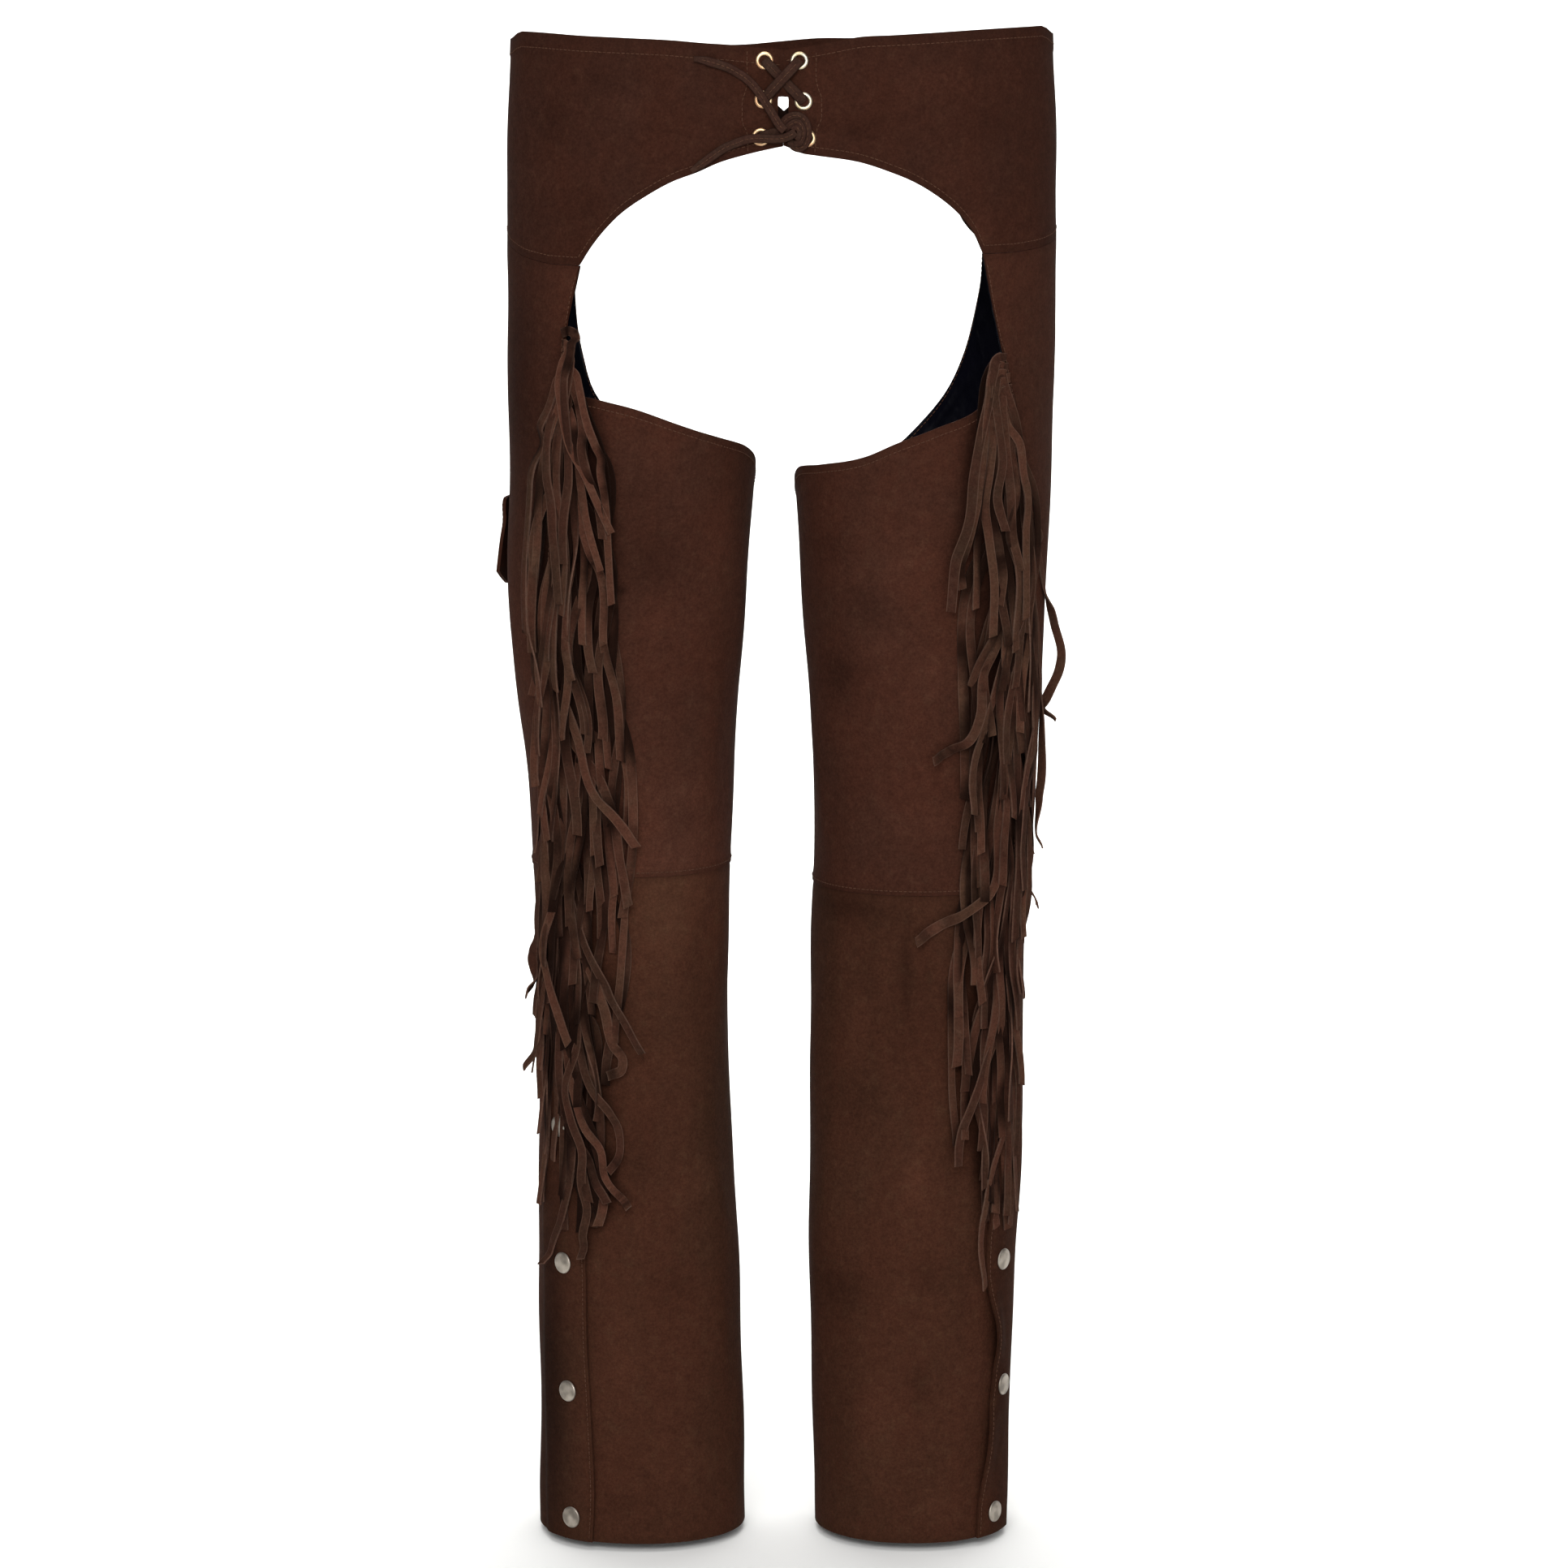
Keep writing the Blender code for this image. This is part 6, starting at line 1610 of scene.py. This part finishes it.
def lay_strand(name, leg, rng, pile, line, lead):
    """One strand laid on the pile: all that its mesh and its shading need.

    Its lift over the cloth is the squeezed height of the pile under it, or its bowing where that is
    more.  Some strands laid by rule have a bell-shaped twist, and each leans and turns a little.
    """
    aside, up, raised = line
    share = np.linspace(0.0, 1.0, len(aside))
    turn = np.zeros(len(aside))
    if not lead and rng.random() < 0.17:
        middle = rng.uniform(0.35, 0.95)
        turn = rng.choice([-1, 1]) * rng.uniform(0.6, 1.4) * np.exp(-((share - middle) / 0.15) ** 2)
    turn = (turn + rng.normal(0.0, 0.12) + rng.normal(0.0, 0.2) * share) * ease(share / 0.12)
    turn = turn + 1.25 * ease(raised / (5.0 * MM)) * (aside < -20 * MM)
    stand = 0.5 * STRAND_THICK + 0.42 * STRAND_WIDTH * np.abs(np.sin(turn))
    limit = ROOT_LIMIT + (PILE_LIMIT - ROOT_LIMIT) * ease(share * STRAND_LENGTH / PILE_RUN)
    high = pile.lay(aside, up, stand, raised)
    seat = np.maximum(squeezed(high, limit), raised)
    tip = rng.uniform(0.0, 2.5) * MM * ease((share - 0.8) / 0.2)
    lift = ROOT_LIFT + (seat + tip - ROOT_LIFT) * ease(share / 0.05)
    lap = LAP_LIFT * ease((LAP_TOP + 10 * MM - up) / (25 * MM))
    angle = angle_at(leg["outseam"], up) + aside / INSIDE_TURN
    base, normal = leg_face(name)(angle, up)
    points = base + normal * (lift + lap + leg_relief(name, angle, up))[:, None]
    width = STRAND_WIDTH * rng.uniform(0.84, 1.14)
    width = width * (1.0 + 0.06 * np.sin(9.0 * share + rng.uniform(0, 6)) + 0.03 * np.sin(31.0 * share))
    bow = rng.normal(0.0, 0.45) * MM * ease(share / 0.2)
    slant = rng.uniform(-1.0, 1.0) * 3.0 * MM
    return dict(aside=aside, up=up, top=high + stand, limit=limit, shade=rng.uniform(-1.0, 1.0),
                mesh=strand_mesh(points, normal, width, turn, bow, slant))


def running_mean(rows, count):
    """Each row of a table averaged with its neighbours, count rows in all."""
    padded = np.pad(rows, ((count // 2, count // 2), (0, 0)), mode="edge")
    return sum(padded[k:k + len(rows)] for k in range(count)) / count


def painted_strand_shade(pile, strand):
    """How shut in each point of a strand is: from the neighbour on either side and what lies over.

    Its painted shade is 1 - (1 - left x (0.5 - across)^1.6) (1 - right x (0.5 + across)^1.6),
    or 0.9 over if more.
    """
    left, over, right = pile.hollow(strand["aside"], strand["up"], strand["top"], strand["limit"])
    from_left = np.clip(0.5 - RING_SPOTS, 0.2, 1.0) ** 1.6
    from_right = np.clip(0.5 + RING_SPOTS, 0.2, 1.0) ** 1.6
    shut = 1 - (1 - left[:, None] * from_left) * (1 - right[:, None] * from_right)
    shut = np.minimum(1.15 * np.maximum(shut, 0.9 * over[:, None]), 1.0)
    return running_mean(shut, 5).reshape(-1)


def fringe(name, leg):
    """Every strand of one seam, laid from the lowest root up so that each falls over those below."""
    rng = np.random.default_rng(FRINGE_SEED[name])
    pile = Pile()
    laid = []
    lows = sorted(REACH[name])
    roots = np.linspace(FRINGE_BOTTOM, leg["outseam_top"] - FRINGE_TOP_GAP, STRANDS[name])
    for number, root in enumerate(roots):
        low, high = (float(soft_curve(root / MM, lows, [REACH[name][k][side] for k in lows]))
                     for side in (0, 1))
        place = (number * GOLDEN_SHARE + rng.uniform(-0.12, 0.12)) % 1.0
        line = hanging_line(rng, root, (low + (high - low) * place) * MM, place)
        laid.append(lay_strand(name, leg, rng, pile, line, False))
    for rows in reversed(LEAD_STRANDS[name]):
        laid.append(lay_strand(name, leg, rng, pile, lead_line(rows), True))
    sizes = [len(strand["mesh"][0]) for strand in laid]
    # under: painted shade between and under strands
    marks = {"shade": np.repeat([strand["shade"] for strand in laid], sizes),
             "under": np.concatenate([painted_strand_shade(pile, strand) for strand in laid]),
             "edge": np.resize(np.abs(RING_SPOTS) * 2.0, sum(sizes))}
    thing = mesh_object("fringe_%s_strands" % name, *join_parts([strand["mesh"][:2] for strand in laid]),
                        FRINGE_SUEDE, "brown_suede", "fringe_" + name, marks=marks, sharp=45.0)
    cut = np.concatenate([strand["mesh"][2] for strand in laid]).astype(np.int32)
    thing.data.materials.append(FRINGE_EDGE)
    thing.data.polygons.foreach_set("material_index", cut)
    return pile


def shade_under(name, leg, pile):
    """Paints shadow on the leg's cloth under its fringe: the pile's depth, averaged over 5 cells thrice."""
    soft = np.minimum(pile.height, UNDER_DEPTH) / UNDER_DEPTH
    for _ in range(3):
        for axis in (0, 1):
            soft = sum(np.roll(soft, k, axis=axis) for k in range(-2, 3)) / 5.0
    for panel in ("front_upper_", "back_upper_", "front_lower_", "back_lower_"):
        data = PANELS[panel + name]
        angle, up = data["grid"][..., 0], data["grid"][..., 1]
        aside = (angle - angle_at(leg["outseam"], up)) * INSIDE_TURN
        inside = (aside > MAP_ASIDE[0]) & (aside < MAP_ASIDE[1]) & (up > MAP_UP[0]) & (up < MAP_UP[1])
        add_mark(data["thing"].data, "under", (soft[pile.cells(aside, up)] * inside).reshape(-1))


for side_name, side_leg in LEGS.items():
    shade_under(side_name, side_leg, fringe(side_name, side_leg))


# ---------------- pocket
# A patch pocket of the thigh's suede is sewn to the outer front of one thigh.  Its flap, two layers
# sewn together, hangs over it from its own seam and gapes at the edge seen from behind.

POCKET_SIDE = "left"
POCKET_ANGLES = (-12.0, -80.0)
POCKET_HEIGHTS = (-338.0, -470.0)
POCKET_POINTS = (44, 46)
POCKET_BELLY = 2.2 * MM
POCKET_HEM = 14.0 * MM
POCKET_HEM_RISE = 0.4 * MM
POCKET_SEAT = 2.5 * MM  # outer face of the patch over the thigh
FLAP_ANGLES = (-5.0, -84.0)
FLAP_HEIGHTS = (-321.0, -383.0)
FLAP_POINTS = (50, 34)
FLAP_CORNER = 11.0  # how far the flap's outer corner is cut away
FLAP_WALL = 2.4 * MM  # two layers
FLAP_SEAT = 5.0  # lift of the flap where it is sewn down
FLAP_STAND = {0.0: 5.0, 0.1: 5.2, 0.3: 4.9, 0.55: 6.8, 1.0: 10.4}  # share of the drop: lift of the edge


def rectangle(angles, heights, points):
    """Even grid between two angles and two heights; s runs across it and down from its top."""
    columns, rows = points
    s, t = np.meshgrid(np.linspace(0.0, 1.0, columns), np.linspace(0.0, 1.0, rows))
    angle = np.radians(angles[0] + (angles[1] - angles[0]) * s)
    height = (heights[1] + (heights[0] - heights[1]) * t) * MM
    return np.stack([angle, height], axis=-1), s, 1.0 - t


def pocket(name):
    """The patch: a belly of sin x sin^0.8 over its two ways, and a turned hem at its mouth."""
    grid, s, down = rectangle(POCKET_ANGLES, POCKET_HEIGHTS, POCKET_POINTS)
    reach, relief = panel_form(name, grid, ())
    belly = POCKET_BELLY * np.sin(math.pi * s) * np.sin(math.pi * down) ** 0.8
    hem = raised_band(reach["top"], POCKET_HEM, POCKET_HEM_RISE)
    cloth_panel("pocket", leg_face(name), grid, POCKET_SEAT, relief + belly + hem, THIGH_SUEDE,
                tuck=("bottom", "first", "last"))


def pocket_flap(name):
    """The flap: it lifts off towards its lower edge by FLAP_STAND, most at the edge seen behind."""
    grid, s, down = rectangle(FLAP_ANGLES, FLAP_HEIGHTS, FLAP_POINTS)
    grid[..., 1] += FLAP_CORNER * MM * np.clip(1.0 - s / 0.2, 0.0, 1.0) * down
    stand = soft_curve(down, list(FLAP_STAND), list(FLAP_STAND.values()))
    lift = (FLAP_SEAT + (stand - FLAP_SEAT) * (1.0 - 0.6 * s)) * MM
    lift = lift + 0.5 * MM * np.sin(5.0 * s + 1.0) * down
    relief = leg_relief(name, grid[..., 0], grid[..., 1])
    cloth_panel("pocket_flap", leg_face(name), grid, lift, relief, THIGH_SUEDE, wall=FLAP_WALL,
                tuck=("top",))


pocket(POCKET_SIDE)
pocket_flap(POCKET_SIDE)


# ---------------- sewing and cloth
# Brown polyester thread in lock stitches holds the hems, seams and bands.  Each panel gets its
# own sewing here, now that all that hangs from it is there.

# Rows of stitches on each piece: edge, distance inside it and, where they don't run the whole edge,
# the first and last share of it.
SEWING = {
    "yoke_left": (("top", 10.3), ("bottom", 5.5), ("first", 24.0)),
    "yoke_right": (("top", 7.0), ("bottom", 5.5), ("first", 22.0)),
    "front_upper": (("top", 5.5, 0.0, 0.53), ("top", 5.5, 0.86, 1.0), ("last", 3.2), ("bottom", 3.0)),
    "back_upper": (("top", 5.5), ("bottom", 3.0)),
    "front_lower": (("last", 2.4, 0.0, 0.8),),
    "back_lower": (),
    "lining": (("top", 4.5, 0.02, 0.54),),
    "pocket": (("bottom", 2.6), ("first", 2.6), ("last", 2.6)),
    "pocket_flap": (("top", 3.0), ("bottom", 2.6), ("first", 2.6), ("last", 2.6)),
}
RESTS_ON = {"front_upper": "yoke", "back_upper": "front_upper", "front_lower": "front_upper",
            "back_lower": "back_upper", "lining": "front_upper"}


def inset_line(node, edge, distance, start=0.0, end=1.0):
    """Points and normals of a line at a distance inside one edge of a panel, between two shares.

    In each column of the grid that leads inwards from the edge it is found between two points.
    """
    panel = PANELS[node]
    reach, points, normal = panel["reach"][edge], panel["points"], panel["normal"]
    if edge in ("first", "last"):
        reach, points, normal = reach.T, points.transpose(1, 0, 2), normal.transpose(1, 0, 2)
    if edge in ("last", "top"):
        reach, points, normal = reach[::-1], points[::-1], normal[::-1]
    last = reach.shape[1] - 1
    line = []
    for j in range(int(start * last), int(end * last) + 1):
        k = int(np.clip(np.searchsorted(reach[:, j], distance), 1, len(reach) - 1))
        t = (distance - reach[k - 1, j]) / max(reach[k, j] - reach[k - 1, j], 1e-9)
        line.append(np.concatenate([points[k - 1, j] * (1 - t) + points[k, j] * t, normal[k, j]]))
    line = np.array(line)
    return line[:, :3], unit(line[:, 3:])


def sew(node, rows):
    """The stitches of one piece, on its outer face or, on a lining, on its inner face."""
    parts = []
    for edge, distance, *shares in rows:
        points, normals = inset_line(node, edge, distance * MM, *shares)
        if node.startswith("lining"):
            points, normals = points - normals * LINING_WALL, -normals
        parts += stitches(points, normals)
    if not parts:
        return []
    return [mesh_object(node + "_sewing", *join_parts(parts), THREAD_BROWN, "brown_suede", sharp=None)]


def declare_cloth(node, rows, more=()):
    sew(node, rows) + list(more)


for side_name in LEGS:
    declare_cloth("yoke_" + side_name, SEWING["yoke_" + side_name])
    for piece, above in RESTS_ON.items():
        more = [bpy.data.objects["fringe_%s_strands" % side_name]] if piece == "front_upper" else []
        declare_cloth("%s_%s" % (piece, side_name), SEWING[piece],
                      more)
for piece, held in (("pocket", "laid"), ("pocket_flap", "hung")):
    declare_cloth(piece, SEWING[piece])


# ---------------- floor and light
# A pale matt floor bends up into its own backdrop.  Four square soft boxes light it: the key above
# the camera, the fill to the right of it, one overhead and a bright one aimed at the backdrop.

FLOOR_DROP = 6.0 * MM  # the hems clear the floor by this much
FLOOR_HALF = 7.0  # metres: its half breadth,
FLOOR_START = -6.0  # and along Y where it starts and bends up
BEND_START = 3.0
BEND_RADIUS = 2.0
BACKDROP_TOP = 7.0
LIGHTS = {  # place, what it is aimed at, edge and power: metres and watts
    "key": ((-0.4, -3.8, 1.3), (0.0, 0.0, -0.5), 1.6, 105.0),
    "fill": ((0.9, -3.6, 0.2), (0.0, 0.0, -0.5), 2.2, 32.0),
    "top": ((0.0, -0.4, 2.4), (0.0, 0.0, -0.5), 2.0, 40.0),
    "backdrop": ((0.0, 1.4, 2.6), (0.0, 5.0, 0.5), 3.0, 320.0),
}
AMBIENT = 0.28


def floor_material():
    """Matt painted board, with the faintest of clouds."""
    material, shader, add = new_material("floor")
    place = add("TexCoord", output="Object")
    cloud = add("TexNoise", {"Vector": place, "Scale": 1.0 / (333.3 * MM), "Detail": 2.0, "Roughness": 0.5})
    colour = add("Mix", {0: cloud, 6: hex_rgb("f0f0ee"), 7: hex_rgb("f4f4f2")}, 2, data_type="RGBA")
    add(shader, {"Base Color": colour, "Roughness": 0.9})
    return material


def add_floor():
    """Pale floor with a backdrop that rises out of it in a quarter circle."""
    turn = np.linspace(0.0, 0.5 * math.pi, 24)
    bend = np.stack([BEND_START + BEND_RADIUS * np.sin(turn), BEND_RADIUS * (1.0 - np.cos(turn))], -1)
    line = np.concatenate([[(FLOOR_START, 0.0)], bend, [(BEND_START + BEND_RADIUS, BACKDROP_TOP)]])
    line[:, 1] += cad_box[0][2] - FLOOR_DROP
    points = [(x, y, z) for y, z in line.tolist() for x in (-FLOOR_HALF, FLOOR_HALF)]
    faces = [(2 * i, 2 * i + 1, 2 * i + 3, 2 * i + 2) for i in range(len(line) - 1)]
    mesh = bpy.data.meshes.new("floor")
    mesh.from_pydata(points, [], faces)
    mesh.shade_smooth()
    thing = bpy.data.objects.new("floor", mesh)
    bpy.context.scene.collection.objects.link(thing)
    mesh.materials.append(floor_material())


def add_light(name, place, target, size, power):
    """Square area light at place, turned down and round to face target."""
    data = bpy.data.lights.new(name, "AREA")
    data.size = size
    data.energy = power
    thing = bpy.data.objects.new(name, data)
    thing.location = place
    x, y, z = np.array(place) - np.array(target)
    thing.rotation_euler = (0.0, math.atan2(math.hypot(x, y), z), math.atan2(y, x))
    bpy.context.scene.collection.objects.link(thing)


add_floor()
for light_name, light in LIGHTS.items():
    add_light(light_name, *light)
world = bpy.data.worlds.new("studio")
world.use_nodes = True
background = world.node_tree.nodes["Background"]
background.inputs["Color"].default_value = (1.0, 1.0, 1.0, 1.0)
background.inputs["Strength"].default_value = AMBIENT
bpy.context.scene.world = world
bpy.context.scene.view_settings.view_transform = "Standard"
bpy.context.scene.view_settings.look = "None"
